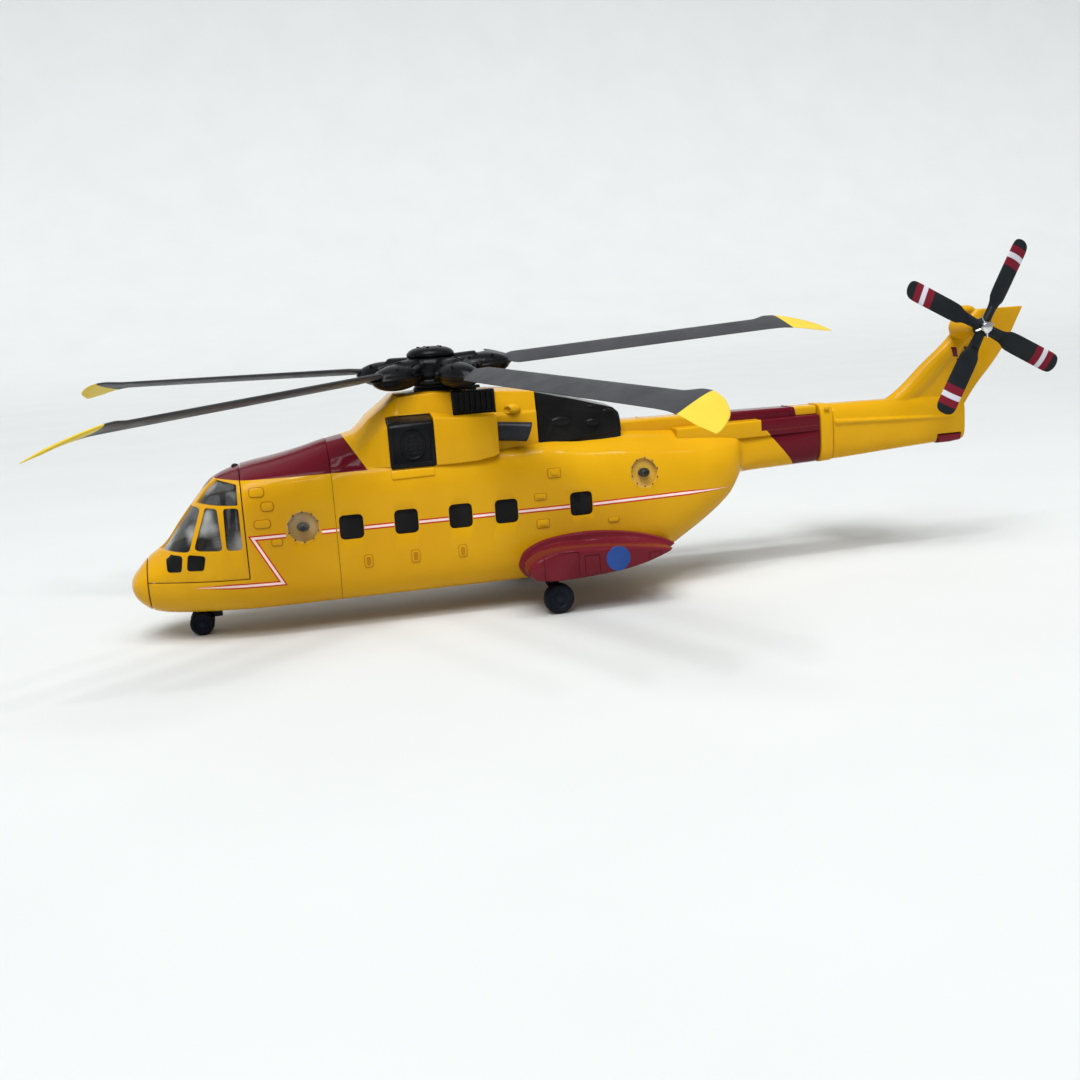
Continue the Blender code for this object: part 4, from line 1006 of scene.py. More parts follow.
def make_body_plates():
    hatches = [
        plate_outline(-28.9, 37.7, 3.4, 2.4), plate_outline(-24.6, 31.5, 3.2, 1.7),
        plate_outline(-24.9, 24.0, 3.4, 2.2), plate_outline(-45.3, 23.0, 3.0, 1.2),
    ]
    hatches += [plate_outline(51.0, 40.0, 3.6, 2.2, 0.9), plate_outline(48.6, 36.1, 3.0, 2.2, 0.9)]
    hatches += [plate_outline(50.3, 31.6, 4.0, 2.0, 0.8), plate_outline(47.0, 26.4, 2.6, 1.6, 0.6)]
    # Rings of darker yellow round each hatch are painted shadow, standing in for the shade at the hatch's
    # edge.
    shadow_rims = [moved_out(hatch, SHADOW_RIM_WIDTH) for hatch in hatches]
    conform("hatch_shadow_rims", shadow_rims, 0.04, "livery_shadow", "yellow_paint")
    conform("body_hatches", hatches, HATCH_RISE, "livery", "yellow_paint", edge=0.12)
    inner = [plate_outline(x, z, w, h, 0.3) for x, z, w, h in (
        (-28.9, 37.7, 1.9, 1.2), (-24.6, 31.5, 1.8, 0.8), (-24.9, 24.0, 1.9, 1.1))]
    conform("hatch_tops", inner, HATCH_RISE + 0.25, "livery", "yellow_paint", edge=0.1)
    strip = [(15.5, 42.3), (3.8, 42.3), (3.9, 40.2), (15.4, 40.0)]
    conform("shoulder_strip", [rounded(strip, 0.3, 4)], 0.3, "livery", "yellow_paint", edge=0.12)
    # Each side step gets a darker ring of painted shadow round it, and a darker patch on its middle that is
    # painted shade standing in for a sunken well.
    outer, well_shades, shadow_rims = [], [], []
    for x in (23.6, 10.9, -2.0):
        for shapes, grow in ((shadow_rims, 0.2), (outer, 0.0), (well_shades, -0.45)):
            low, high, wide = 17.2 - grow, 20.4 + grow, 1.05 + grow
            corners = [(x - wide, low), (x + wide, low), (x + wide, high), (x - wide, high)]
            shapes.append(rounded(corners, min(0.7, wide * 0.7), 5))
    conform("step_shadow_rims", shadow_rims, 0.04, "livery_shadow", "yellow_paint")
    conform("side_steps", outer, 0.22, "livery", "yellow_paint", edge=0.08)
    conform("step_well_shade", well_shades, 0.235, "livery_shadow", "yellow_paint")


# Cockpit interior.

def soft_box(name, low, high, radius, material, turn=0.0):
    """A rounded block, leaned back by turn degrees about its lower rear edge."""
    obj = new_object(name, box(low, high), material)
    bevel(obj, radius, 4, 30)
    if turn:
        pivot = Matrix.Translation(at(low[0], 0, low[2]))
        obj.data.transform(pivot @ Matrix.Rotation(math.radians(-turn), 4, "Y") @ pivot.inverted())
    return obj


SEAT_Y = 5.9
SEAT = (
    ((59.2, -2.6, 19.3), (64.4, 2.6, 21.6), 0.6, "black", 0),
    ((59.6, -2.9, 21.4), (65.4, 2.9, 23.0), 0.7, "seat", 0),
    ((58.3, -2.9, 22.0), (59.9, 2.9, 30.0), 0.7, "seat", 6),
    ((57.5, -1.5, 30.4), (58.8, 1.5, 33.0), 0.5, "seat", 6),
    ((60.0, -3.4, 24.6), (64.0, -2.9, 25.3), 0.2, "black", 0),
    ((60.0, 2.9, 24.6), (64.0, 3.4, 25.3), 0.2, "black", 0),
)


def make_cockpit():
    stations = spread(77.0, CANOPY_REAR + 0.4, 1.2)
    tub = new_object("cockpit_floor", loft([ring(x, True, -1.9) for x in stations]), "interior_dark")
    cut(tub, box((CANOPY_REAR, -30, 18.0), (75.0, 30, 45.0)), "INTERSECT")
    cut(tub, box((56.6, -30, 19.2), (NOSE_TIP, 30, 60)))
    bevel(tub, 0.15, 2, 50)
    place(tub, "black_plastic", stands_for=["cockpit_tub"])
    for side_name, side in SIDES:
        y = side * SEAT_Y
        parts = []
        for (x0, y0, z0), (x1, y1, z1), radius, finish, lean in SEAT:
            parts.append(soft_box("seat", (x0, y + y0, z0), (x1, y + y1, z1), radius, finish, lean))
        place(join(f"crew_seat_{side_name}", parts), "black_plastic", stands_for=[f"pilot_seat_{side_name}"])
        stick = [
            new_object("stick", rod(at(67.0, y, 19.2), at(66.2, y, 24.4), 0.25, 0.2, 16), "black"),
            new_object("grip", ball(at(66.1, y, 24.9), (0.4, 0.4, 0.8), 16, 12), "black"),
        ]
        place(join(f"control_stick_{side_name}", stick), "black_plastic")
    hood = [(68.6, 19.4), (73.4, 19.4), (73.4, 22.6), (71.6, 25.2), (69.4, 25.6), (69.0, 24.8), (69.6, 24.2)]
    board = new_object("instrument_board", prism(hood, -8.2, 8.2), "black")
    bevel(board, 0.3, 3, 30)
    screens = []
    for y in (-6.3, -3.8, -1.2, 1.2, 3.8, 6.3):
        low, high = (69.15, y - 0.95, 21.9), (69.5, y + 0.95, 23.8)
        screens.append(soft_box("screen", low, high, 0.1, "gloss_black"))
    console = soft_box("console", (61.0, -1.6, 19.3), (69.5, 1.6, 22.2), 0.35, "black")
    full = join("instrument_board_full", [board, console] + screens)
    place(full, "black_plastic", stands_for=["instrument_panel"])


# Engine cowls and what is let into them.

COWL_SECTIONS = (
    (BODY_SEAM - SEAM / 2, (15.0, 43.6), (15.4, 44.0), (12.9, 46.2), (9.6, 48.6), (6.0, 50.3), 50.9),
    (27.4, (15.0, 43.5), (15.5, 43.9), (13.2, 46.9), (10.1, 49.3), (6.5, 51.0), 51.6),
    (23.5, (15.0, 43.3), (15.8, 43.7), (13.6, 47.6), (10.6, 50.0), (7.0, 51.9), 52.5),
    (21.2, (15.0, 43.1), (16.2, 43.5), (14.2, 49.4), (10.9, 51.8), (7.5, 53.8), 54.4),
    (19.0, (15.0, 42.9), (16.6, 43.3), (15.0, 51.0), (11.2, 54.0), (8.2, 56.0), 56.6),
    (15.6, (15.0, 42.8), (17.2, 43.1), (16.4, 53.6), (11.5, 56.2), (9.2, 58.3), 59.0),
    (11.5, (15.0, 42.7), (17.5, 43.0), (16.8, 54.4), (11.8, 56.4), (10.6, 61.2), 61.9),
    (2.4, (15.0, 42.4), (17.9, 42.7), (17.3, 55.4), (12.0, 56.2), (11.0, 61.6), 62.3),
    (-2.8, (15.0, 42.4), (18.4, 42.8), (17.9, 55.0), (12.1, 55.4), (11.1, 61.5), 62.1),
    (-8.0, (15.0, 42.6), (18.6, 43.0), (18.1, 54.8), (12.2, 55.1), (11.2, 61.2), 61.8),
    (-12.6, (14.8, 43.4), (18.7, 43.8), (18.2, 54.6), (12.3, 55.0), (11.2, 60.8), 61.4),
    (-14.2, (14.4, 43.8), (18.2, 44.3), (17.7, 54.2), (12.4, 55.0), (11.2, 60.8), 61.4),
    (-14.8, (14.4, 43.4), (14.8, 44.0), (13.4, 54.2), (12.4, 55.0), (11.2, 60.8), 61.4),
    (COWL_REAR + GAP / 2, (12.8, 44.6), (13.2, 45.2), (12.7, 54.2), (12.3, 55.0), (11.3, 59.9), 60.6),
)
REAR_COWL_SECTIONS = (
    (COWL_REAR - GAP / 2, (12.5, 44.4), (12.9, 44.8), (12.4, 55.4), (11.1, 59.6), 60.4),
    (-38.0, (11.6, 45.4), (12.0, 45.8), (11.4, 53.6), (9.9, 56.7), 57.4),
    (-45.0, (10.5, 46.0), (10.9, 46.4), (10.2, 52.3), (8.9, 54.7), 55.3),
    (-49.6, (9.6, 46.4), (10.0, 46.8), (9.3, 51.4), (8.1, 53.4), 53.9),
    (REAR_COWL_END, (9.0, 46.5), (9.4, 46.9), (8.7, 50.2), (7.5, 51.8), 52.2),
)


COWL_FLOOR = 41.0


def both_ways(station, points):
    """A ring through (y, z) points up the port side and down the starboard side."""
    return [at(station, y, z) for y, z in points] + [at(station, -y, z) for y, z in reversed(points)]


def cowl_ring(section):
    station, *corners, top = section
    corners = [(corners[0][0], COWL_FLOOR), *corners]
    loop = both_ways(station, corners)
    loop.insert(len(corners), at(station, 0, top))
    return loop


def side_box(low, high, side):
    """A box on one side of the model. low and high are (station, distance out, z)."""
    ys = sorted((side * low[1], side * high[1]))
    return box((low[0], ys[0], low[2]), (high[0], ys[1], high[2]))


def make_engine_cowl():
    cowl = new_object("engine_cowl_skin", loft([cowl_ring(s) for s in COWL_SECTIONS]), "livery")
    bevel(cowl, 0.9, 4, 16)
    for _, side in SIDES:
        cut(cowl, intake_block(side, 0.12, 6.0), solver="EXACT")
        cut(cowl, side_box((-15.15, 9.0, 55.15), (-3.15, 20.0, 64.0), side), solver="EXACT")
    cut(cowl, rod(at(0, 0, 50), at(0, 0, 70), 2.4), solver="EXACT")
    bevel(cowl, 0.12, 2, 40)
    place(cowl, "yellow_paint", stands_for=["engine_cowl"])
    for side_name, side in SIDES:
        make_intake(side_name, side)
        make_grille(side_name, side)
        make_exhaust(side_name, side)
        bump = ball(at(-19.6, side * 12.7, 55.6), (2.3, 1.6, 1.6))
        blister = new_object(f"cowl_blister_{side_name}", bump, "livery")
        notch = ball(at(-17.7, side * 13.9, 55.6), (1.2, 1.4, 1.1))
        cut(blister, notch)
        place(blister, "yellow_paint")


def intake_block(side, spare, reach=0.0):
    """The intake's housing, its roof sloping up to the cowl."""
    rings = []
    for x, shift in ((3.15 - spare, 0.4), (15.3 + spare, 0.0)):
        section = (
            (11.6 - spare, 42.6 - spare), (17.8 + reach, 42.6 - spare), (17.7 + reach, 53.6 + spare + shift),
            (17.0 + reach, 54.4 + spare + shift), (11.6 - spare, 56.3 + spare),
        )
        rings.append([at(x, side * y, z) for y, z in section])
    return loft(rings)


def oval_tube(centre, side, radius, tube, squash, steps=48, sides=12):
    """A closed tube round an oval that is squash times as high as it is long."""
    bm = bmesh.new()
    out = Vector((0, side, 0)) * MM
    loops = []
    for i in range(steps):
        angle = math.tau * i / steps
        reach = Vector((math.cos(angle), 0, math.sin(angle) * squash))
        loop = []
        for k in range(sides):
            turn = math.tau * k / sides
            offset = reach.normalized() * math.cos(turn) * tube * MM + out * math.sin(turn) * tube
            loop.append(bm.verts.new(centre + reach * radius * MM + offset))
        loops.append(loop)
    for loop, following in zip(loops, loops[1:] + loops[:1]):
        for k in range(sides):
            j = (k + 1) % sides
            bm.faces.new((loop[k], loop[j], following[j], following[k]))
    return bm


def make_intake(side_name, side):
    """A black box with a thick rim and a raised oval ring on its sunken face."""
    body = new_object(f"air_intake_{side_name}", intake_block(side, 0.0), "black")
    bevel(body, 0.45, 3, 30)
    cut(body, side_box((4.3, 16.9, 43.9), (14.3, 20.0, 53.0), side))
    bevel(body, 0.1, 2, 50)
    centre = at(9.0, side * 16.8, 48.6)
    parts = [body]
    for radius, tube, squash in ((3.1, 0.42, 1.22), (1.5, 0.25, 1.5)):
        parts.append(new_object("oval", oval_tube(centre, side, radius, tube, squash), "black"))
    for rise in (-2.4, -1.2, 0.0, 1.2, 2.4):
        start, end = centre + Vector((-2.2, 0, rise)) * MM, centre + Vector((2.2, 0, rise)) * MM
        parts.append(new_object("slat", rod(start, end, 0.18, sides=12), "black"))
    place(join(f"air_intake_full_{side_name}", parts), "black_plastic", stands_for=[f"intake_{side_name}"])


def make_grille(side_name, side):
    low, high = (-15.05, 9.1, 55.25), (-3.25, 12.25, 61.6)
    frame_box = new_object("grille", side_box(low, high, side), "black")
    bevel(frame_box, 0.3, 3, 40)
    bars = 7
    pitch = (high[0] - low[0] - 1.2) / bars
    for bar in range(bars):
        x = low[0] + 0.6 + pitch * bar
        cut(frame_box, side_box((x + 0.16, 11.3, 56.0), (x + pitch - 0.16, 14.0, 60.9), side))
    frame_box.name = f"cooler_louvres_{side_name}"
    place(frame_box, "black_plastic", stands_for=[f"cooler_grille_{side_name}"])


def make_exhaust(side_name, side):
    """A flared stub with a slanted, hollow mouth."""
    def tube(grow, ends):
        rings = []
        for share in ends:
            x = -13.8 - 9.0 * share
            y = 15.0 + 2.3 * share ** 1.5
            z = 50.2 - 0.7 * share
            half_y, half_z = 2.15 + grow, 2.6 + grow
            loop = []
            for i in range(40):
                angle = math.tau * i / 40
                dy = math.copysign(abs(math.cos(angle)) ** 0.75, math.cos(angle)) * half_y
                dz = math.copysign(abs(math.sin(angle)) ** 0.75, math.sin(angle)) * half_z
                slant = -0.38 * dz * share ** 4
                loop.append(at(x + slant, side * (y + dy), z + dz))
            rings.append(loop)
        return loft(rings)
    shares = [i / 10 for i in range(11)]
    pipe = new_object(f"exhaust_pipe_{side_name}", tube(0.0, shares), "dark_metal")
    cut(pipe, tube(-0.35, [0.35 + 0.75 * s for s in shares]))
    bevel(pipe, 0.12, 2, 50)
    place(pipe, "dark_metal", stands_for=[f"exhaust_{side_name}"])


def make_rear_cowl():
    cowl = new_object("rear_cowl_skin", loft([cowl_ring(s) for s in REAR_COWL_SECTIONS]), "gloss_black")
    bevel(cowl, 0.8, 4, 20)
    parts = [cowl]
    for _, side in SIDES:
        for x, y, z, sizes in (
            (-33.0, 11.9, 50.9, (3.2, 0.9, 1.5)), (-42.5, 11.0, 49.9, (2.2, 0.8, 1.2)),
            (-47.4, 8.9, 52.6, (1.9, 1.0, 0.8)), (-43.0, 9.2, 54.3, (1.6, 0.8, 0.6)),
        ):
            blister = new_object("lump", ball(at(x, side * y, z), sizes), "gloss_black")
            cut(cowl, blister, "UNION")
        for x in (-29.0, -36.0, -43.5):
            out = 12.15 - (-29 - x) * 0.11
            block = side_box((x - 0.22, 8.0, 46.8), (x + 0.22, out, 50.5), side)
            rib = new_object("rib", block, "gloss_black")
            bevel(rib, 0.12, 2, 40)
            parts.append(rib)
    place(join("rear_cowl_full", parts), "black_plastic", stands_for=["rear_cowl"])


# Spine covers, fold band and tail.

def cover(name, sections, stands_for, ribs=(), width_of=None):
    rings = []
    for station, half, low, high, corner in sections:
        points = [(half, low), (half, high - corner)]
        for step in range(1, 6):
            angle = math.pi / 2 * step / 5
            points.append((half - corner * (1 - math.cos(angle)), high - corner + corner * math.sin(angle)))
        rings.append(both_ways(station, points))
    obj = new_object(name, loft(rings), "livery")
    bevel(obj, 0.2, 3, 60)
    parts = [obj]
    for x in ribs:
        half, high = width_of(x)
        band = []
        for station in (x - 0.35, x + 0.35):
            corners = [(half + 0.14, 43.6), (half + 0.14, high - 0.75), (half - 0.65, high + 0.14)]
            band.append(both_ways(station, corners))
        rib = new_object("rib", loft(band), "livery")
        bevel(rib, 0.1, 2, 40)
        parts.append(rib)
    place(join(f"{name}_full", parts), "yellow_paint", stands_for=stands_for)


def make_spine():
    wide = [
        (-68.0, 9.2, COWL_FLOOR, 45.7, 0.55), (-90.0, 7.4, COWL_FLOOR, 45.8, 0.55),
        (FOLD_FRONT + GAP, 5.7, COWL_FLOOR, 45.8, 0.55),
    ]
    cover("shaft_cover_skin", wide, ["shaft_cover"])

    def narrow_at(x):
        share = (REAR_COWL_END - GAP - x) / (REAR_COWL_END - GAP - FOLD_FRONT - GAP)
        return 4.6 - 1.2 * share, 48.9 - 0.5 * share

    stations = (REAR_COWL_END - GAP, -66.0, -84.0, FOLD_FRONT + GAP)
    narrow = [(x, narrow_at(x)[0], 43.6, narrow_at(x)[1], 0.8) for x in stations]
    cover("spine_cover_skin", narrow, ["spine_cover"], (-60.0, -72.0, -106.0), narrow_at)


def oval_ring(station, half, low, high, power, count=56):
    middle, reach = (low + high) / 2, (high - low) / 2
    loop = []
    for corner in range(count):
        angle = math.tau * (corner + 0.5) / count
        y = math.copysign(abs(math.cos(angle)) ** (2 / power), math.cos(angle))
        z = math.copysign(abs(math.sin(angle)) ** (2 / power), math.sin(angle))
        loop.append(at(station, half * y, middle + reach * z))
    return loop


def make_fold_ring():
    rings = [
        oval_ring(FOLD_FRONT - GAP / 2, 5.85, 31.15, 48.75, 4),
        oval_ring(FOLD_REAR + GAP / 2, 5.7, 31.3, 48.65, 4),
    ]
    band = new_object("fold_band", loft(rings), "livery")
    bevel(band, 0.35, 3, 50)
    parts = [band]
    for _, side in SIDES:
        y = side * 5.75
        lug = ((-117.4, y - 0.3, 47.0), (-115.6, y + 0.3, 47.9))
        parts.append(soft_box("lug", *lug, 0.15, "livery"))
    place(join("fold_band_full", parts), "yellow_paint", stands_for=["fold_ring"])


FIN_LEAD = ((44.0, -128.0), (49.1, -140.3), (57.5, -150.5), (64.5, -159.0), (68.0, -162.2), (73.2, -168.2))
FIN_TRAIL = ((44.0, -164.9), (49.1, -168.6), (57.5, -176.0), (64.5, -181.0), (68.0, -182.8), (73.2, -185.5))
TAIL_TOP = ((TAIL_END, 46.4), (-150.0, 47.9), (-134.0, 48.2), (FOLD_REAR, 48.4))
FIN_SHARES = (
    (0.0, 0.0), (0.02, 0.45), (0.06, 0.78), (0.13, 1.0), (0.22, 1.0), (0.30, 0.86), (0.36, 0.62),
    (0.5, 0.58), (0.75, 0.46), (1.0, 0.22),
)


TAIL_POWER = 3.2
CAST_VOXEL = 0.28


def fin_ring(z):
    lead, trail = along(FIN_LEAD, z), along(FIN_TRAIL, z)
    half = 2.6 - 0.5 * min(max((z - 44) / 20, 0), 1)
    chord = lead - trail
    port = [at(lead - chord * share, half * depth, z) for share, depth in FIN_SHARES]
    return port + [at(lead - chord * share, -half * depth, z) for share, depth in FIN_SHARES[:0:-1]]


def remeshed(obj, smoothing):
    """Melts a union of shapes into one casting with soft inner corners."""
    remesh = obj.modifiers.new("cast", "REMESH")
    remesh.mode = "VOXEL"
    remesh.voxel_size = CAST_VOXEL * MM
    relax = obj.modifiers.new("relax", "SMOOTH")
    relax.factor = 0.6
    relax.iterations = smoothing
    return settle(obj, 60.0)


def make_tail():
    rings = []
    for station in spread(FOLD_REAR - GAP / 2, TAIL_END, 2.2):
        half, low, high = (along(profile, station) for profile in (SIDE, KEEL, TAIL_TOP))
        rings.append(oval_ring(station, half, low, high, TAIL_POWER))
    tail = new_object("tail", loft(rings), "livery")
    bevel(tail, 0.6, 3, 50)
    heights = spread(44.0, 73.2, 1.2)
    weld(tail, loft([fin_ring(z) for z in heights]))
    for _, side in SIDES:
        ends = ((-119.4, 5.75, 42.5, 43.6), (-143.0, 4.3, 41.6, 42.4), (-160.0, 3.1, 40.9, 41.4))
        rails = []
        for x, out, low, high in ends:
            rails.append([at(x, side * y, z) for y, z in ((2.0, low), (out, low), (out, high), (2.0, high))])
        strip = new_object("ledge", loft(rails), "livery")
        weld(tail, strip)
    weld(tail, ball(at(-165.6, 0, 73.2), (3.4, 1.7, 1.4)))
    remeshed(tail, 3)
    for side_name, side in SIDES:
        half = new_object(f"tail_skin_{side_name}", bmesh.new(), "livery")
        half.data = tail.data.copy()
        ys = sorted((side * GAP / 4, side * 20))
        cut(half, box((-200, ys[0], 20), (-110, ys[1], 90)), "INTERSECT")
        cut(half, box((-163.0, -6, 30), (-154.6, 6, 36.2)))
        place(half, "yellow_paint", stands_for=[f"tail_{side_name}"])
    drop(tail)
    ovals = ((-154.9, 3.05, 33.2, 36.0), (-159.0, 2.95, 33.2, 36.0), (-162.8, 2.7, 33.6, 36.0))
    rings = [oval_ring(*oval, TAIL_POWER) for oval in ovals]
    bumper = new_object("tail_skid", loft(rings), "maroon")
    bevel(bumper, 0.25, 3, 50)
    place(bumper, "maroon_paint", stands_for=["tail_bumper"])


def aerofoil(share):
    """The half thickness of a symmetrical aerofoil at a share of its chord."""
    return (
        0.2969 * math.sqrt(share) - 0.126 * share - 0.3516 * share ** 2
        + 0.2843 * share ** 3 - 0.09 * share ** 4
    )


STABILISER_HEIGHT = 42.0


def make_stabiliser():
    rings = []
    outline = (
        (-2.5, -126.6, 18.4, 0.95), (-5.0, -127.0, 18.0, 0.9), (-20.0, -129.5, 15.5, 0.75),
        (-35.0, -132.0, 13.0, 0.6), (-36.6, -132.7, 11.9, 0.5), (-37.5, -134.0, 10.0, 0.3),
    )
    for y, lead, chord, half in outline:
        upper, lower = [], []
        for step in range(15):
            share = (1 - math.cos(math.pi * step / 14)) / 2
            depth = half * 2.6 * aerofoil(share) * 2.2
            upper.append(at(lead - chord * share, y, STABILISER_HEIGHT + depth))
            if 0 < step:
                lower.append(at(lead - chord * share, y, STABILISER_HEIGHT - depth))
        rings.append(upper + lower[::-1])
    plane = new_object("tailplane", loft(rings), "livery")
    foot = ball(at(-136.0, -4.6, STABILISER_HEIGHT), (9.6, 2.0, 1.7))
    cuff = new_object("cuff", foot, "livery")
    place(join("tailplane_full", [plane, cuff]), "yellow_paint", stands_for=["stabiliser"])


# Main rotor.

BLADE_DROOP = (-6.4, 7.2, 5.4, 0.9, 1.2)
BLADE_SWING = (0.0, 0.0, 0.0, 0.0, -7.4)
BLADE_PITCH = (18.0, 18.0, 17.0, 12.0, 15.0)
ROTOR_PHASE = -3.6
BLADE_LEAD = (
    (16.0, 1.7), (20.6, 1.9), (24.8, 4.2), (101, 4.4), (103.5, 5.3), (105.5, 6.2), (108, 6.3),
    (112, 5.2), (118, 1.4), (ROTOR_RADIUS, -3.6),
)
BLADE_TRAIL = (
    (16.0, -1.7), (20.6, -1.9), (24.8, -4.6), (101, -5), (105.5, -5.2), (112, -6), (118, -7),
    (ROTOR_RADIUS, -7.0),
)


def blade_turns():
    centre = Matrix.Translation(at(0, 0, ROTOR_HEIGHT))
    for number, (droop, pitch, swing) in enumerate(zip(BLADE_DROOP, BLADE_PITCH, BLADE_SWING), 1):
        azimuth = math.radians(180 - 72 * (number - 1) - ROTOR_PHASE + swing)
        tilt = math.asin(droop / ROTOR_RADIUS)
        pitched = centre @ Euler((math.radians(pitch), tilt, azimuth)).to_matrix().to_4x4()
        level = centre @ Euler((0, tilt, azimuth)).to_matrix().to_4x4()
        yield number, pitched, level


BLADE_THICKNESS = 1.4
TIP_DROP_START = 105.5
TIP_ROUND_START, TIP_ROUND = 119.5, 2.9


def blade_mesh():
    radii = [16.0, 19.0] + spread(20.6, 26.0, 0.6) + spread(28.0, 99.0, 4.0)
    radii += spread(100.0, 120.0, 0.8) + [120.8, 121.4, 121.9, 122.2]
    rings = []
    for radius in radii:
        lead, trail = along(BLADE_LEAD, radius), along(BLADE_TRAIL, radius)
        thickness = BLADE_THICKNESS * (1 - 0.4 * radius / ROTOR_RADIUS) * 0.5
        if radius > TIP_ROUND_START:
            tip = (radius - TIP_ROUND_START) / TIP_ROUND
            lead = trail + (lead - trail) * math.sqrt(max(1 - tip ** 2, 0.02))
            thickness *= 1 - 0.75 * (radius - TIP_ROUND_START) / TIP_ROUND
        past = max(radius - TIP_DROP_START, 0) / (ROTOR_RADIUS - TIP_DROP_START)
        drop_down = 2.6 * past ** 1.5
        upper, lower = [], []
        for step in range(17):
            share = (1 - math.cos(math.pi * step / 16)) / 2
            rise = thickness * 3.35 * aerofoil(share) / 0.335
            rise = max(rise, thickness * 0.1) if 0 < step else 0
            y = lead - (lead - trail) * share
            upper.append(Vector((radius, y, min(rise, thickness) - drop_down)) * MM)
            if 0 < step:
                lower.append(Vector((radius, y, -min(rise, thickness) - drop_down)) * MM)
        rings.append(upper + lower[::-1])
    return loft(rings)


def make_main_blades():
    for number, pitched, _ in blade_turns():
        blade = new_object(f"rotor_blade_{number}", blade_mesh(), "blade", 35)
        blade.matrix_world = pitched
        place(blade, "blade_grey", "main_rotor", [f"main_blade_{number}"])


def local_ball(matrix, centre, sizes):
    bm = ball(Vector(centre) * MM, sizes)
    bmesh.ops.transform(bm, matrix=matrix, verts=bm.verts)
    return bm


def local_rod(matrix, start, end, radius, end_radius=None, sides=32):
    bm = rod(Vector(start) * MM, Vector(end) * MM, radius, end_radius, sides)
    bmesh.ops.transform(bm, matrix=matrix, verts=bm.verts)
    return bm


SERVO_LEAN = 0.92


def make_hub(centre):
    profile = [
        (0, -3.9), (6.6, -3.9), (7.0, -3.5), (7.0, -2.4), (7.4, -1.8), (7.4, 1.6), (6.8, 2.6),
        (5.2, 3.3), (0, 3.3),
    ]
    hub = new_object("hub", turned(profile, 64, centre), "black")
    bolts, links = [], []
    for _, _, level in blade_turns():
        weld(hub, local_ball(level, (13.9, 0, -1.0), (8.9, 4.9, 3.5)))
        weld(hub, local_ball(level, (14.2, 0, -1.1), (9.2, 5.4, 0.75)))
        weld(hub, local_rod(level, (4, 0, 0.2), (13, 0, 0.2), 3.1))
        for x, y in ((10.5, 3.0), (10.5, -3.0), (17.0, 3.4), (17.0, -3.4)):
            bolt = local_rod(level, (x, y, 0.4), (x, y, 1.9), 0.42, sides=6)
            bolts.append(new_object("bolt", bolt, "black"))
        arm_end = level @ (Vector((12.5, -5.4, -0.6)) * MM)
        axis = at(0, 0, 0)
        outward = (Vector((arm_end.x, arm_end.y, 0)) - axis).normalized()
        base = Vector((axis.x, axis.y, 64.6 * MM)) + outward * 7.6 * MM
        links.append(new_object("link", rod(base, arm_end, 0.45, sides=20), "black"))
        links.append(new_object("ball", ball(base, (0.85, 0.85, 0.7), 20, 14), "black"))
        links.append(new_object("ball", ball(arm_end, (0.9, 0.9, 0.8), 20, 14), "black"))
        damper = local_rod(level, (8.5, 3.6, 1.2), (13.6, 5.6, 0.6), 1.0, 0.8, 24)
        links.append(new_object("damper", damper, "black"))
    remeshed(hub, 4)
    place(hub, "black_plastic", "main_rotor", ["rotor_hub"])
    place(join("hub_bolts", bolts), "black_plastic", "main_rotor")
    ring_profile = [(5.9, -4.2), (8.3, -4.2), (8.5, -3.9), (8.5, -3.2), (8.2, -2.9), (5.9, -2.9)]
    links.append(new_object("upper_plate", turned(ring_profile, 64, centre), "black"))
    place(join("pitch_links", links), "black_plastic", "main_rotor")


def make_rotor_cap(centre):
    cap_profile = [
        (0, 6.0), (1.5, 5.97), (3.2, 5.8), (4.7, 5.5), (5.8, 5.0), (6.5, 4.3), (6.7, 3.7),
        (6.4, 3.2), (5.8, 2.9), (4.9, 2.9), (4.6, 2.4), (0, 2.4),
    ]
    cap = new_object("hub_cap", turned(cap_profile, 72, centre), "black", 50)
    studs = [cap]
    for i in range(5):
        spot = centre @ ((spoke(math.tau * i / 5) * 3.3 + Vector((0, 0, 5.5))) * MM)
        stud = rod(spot, spot + Vector((0, 0, 0.5 * MM)), 0.45, 0.4, sides=24)
        studs.append(new_object("stud", stud, "black"))
    place(join("hub_cap_full", studs), "black_plastic", "main_rotor", ["rotor_cap"])


def make_mast(centre):
    mast_profile = [
        (0, -14), (1.5, -14), (1.5, -9), (1.9, -8.6), (1.9, -6.0), (1.5, -5.6), (1.5, -3.7), (0, -3.7),
    ]
    mast = new_object("mast_shaft", turned(mast_profile, 48, centre), "steel")
    place(mast, "steel", "main_rotor", ["rotor_mast"])
    drum = [
        (2.0, -6.4), (5.3, -6.4), (5.6, -6.1), (5.6, -5.5), (5.2, -5.2), (5.2, -4.6), (4.9, -4.35),
        (2.0, -4.35),
    ]
    plate = new_object("swash_drum", turned(drum, 64, centre), "black")
    place(plate, "black_plastic", AIR, ["swashplate"])


def make_servos():
    parts = [soft_box("housing", (-11.4, -5.6, 60.4), (-3.4, 5.6, 62.6), 0.5, "black")]
    for x, y in ((-5.8, 6.6), (-5.8, -6.6), (-9.8, 0.0)):
        top = at(x * SERVO_LEAN, y * SERVO_LEAN, 62.5)
        parts.append(new_object("servo", rod(at(x, y, 61.0), top, 1.35, 1.1, 28), "black"))
        parts.append(new_object("servo_top", ball(top, (1.1, 1.1, 0.45), 24, 14), "black"))
    place(join("rotor_servos", parts), "black_plastic")


# Tail rotor.

TAIL_HUB = (-162.4, 15.0, 68.2)
TAIL_PHASE = 61.8
TAIL_PITCH = 12.0
TAIL_BLADE = (
    (1.2, 1.5), (6.0, 1.7), (7.6, 2.0), (9.4, 2.8), (12, 2.95), (24.6, 3.0), (26.2, 2.75), (27.0, 2.2),
    (27.4, 1.5), (27.6, 0.8),
)


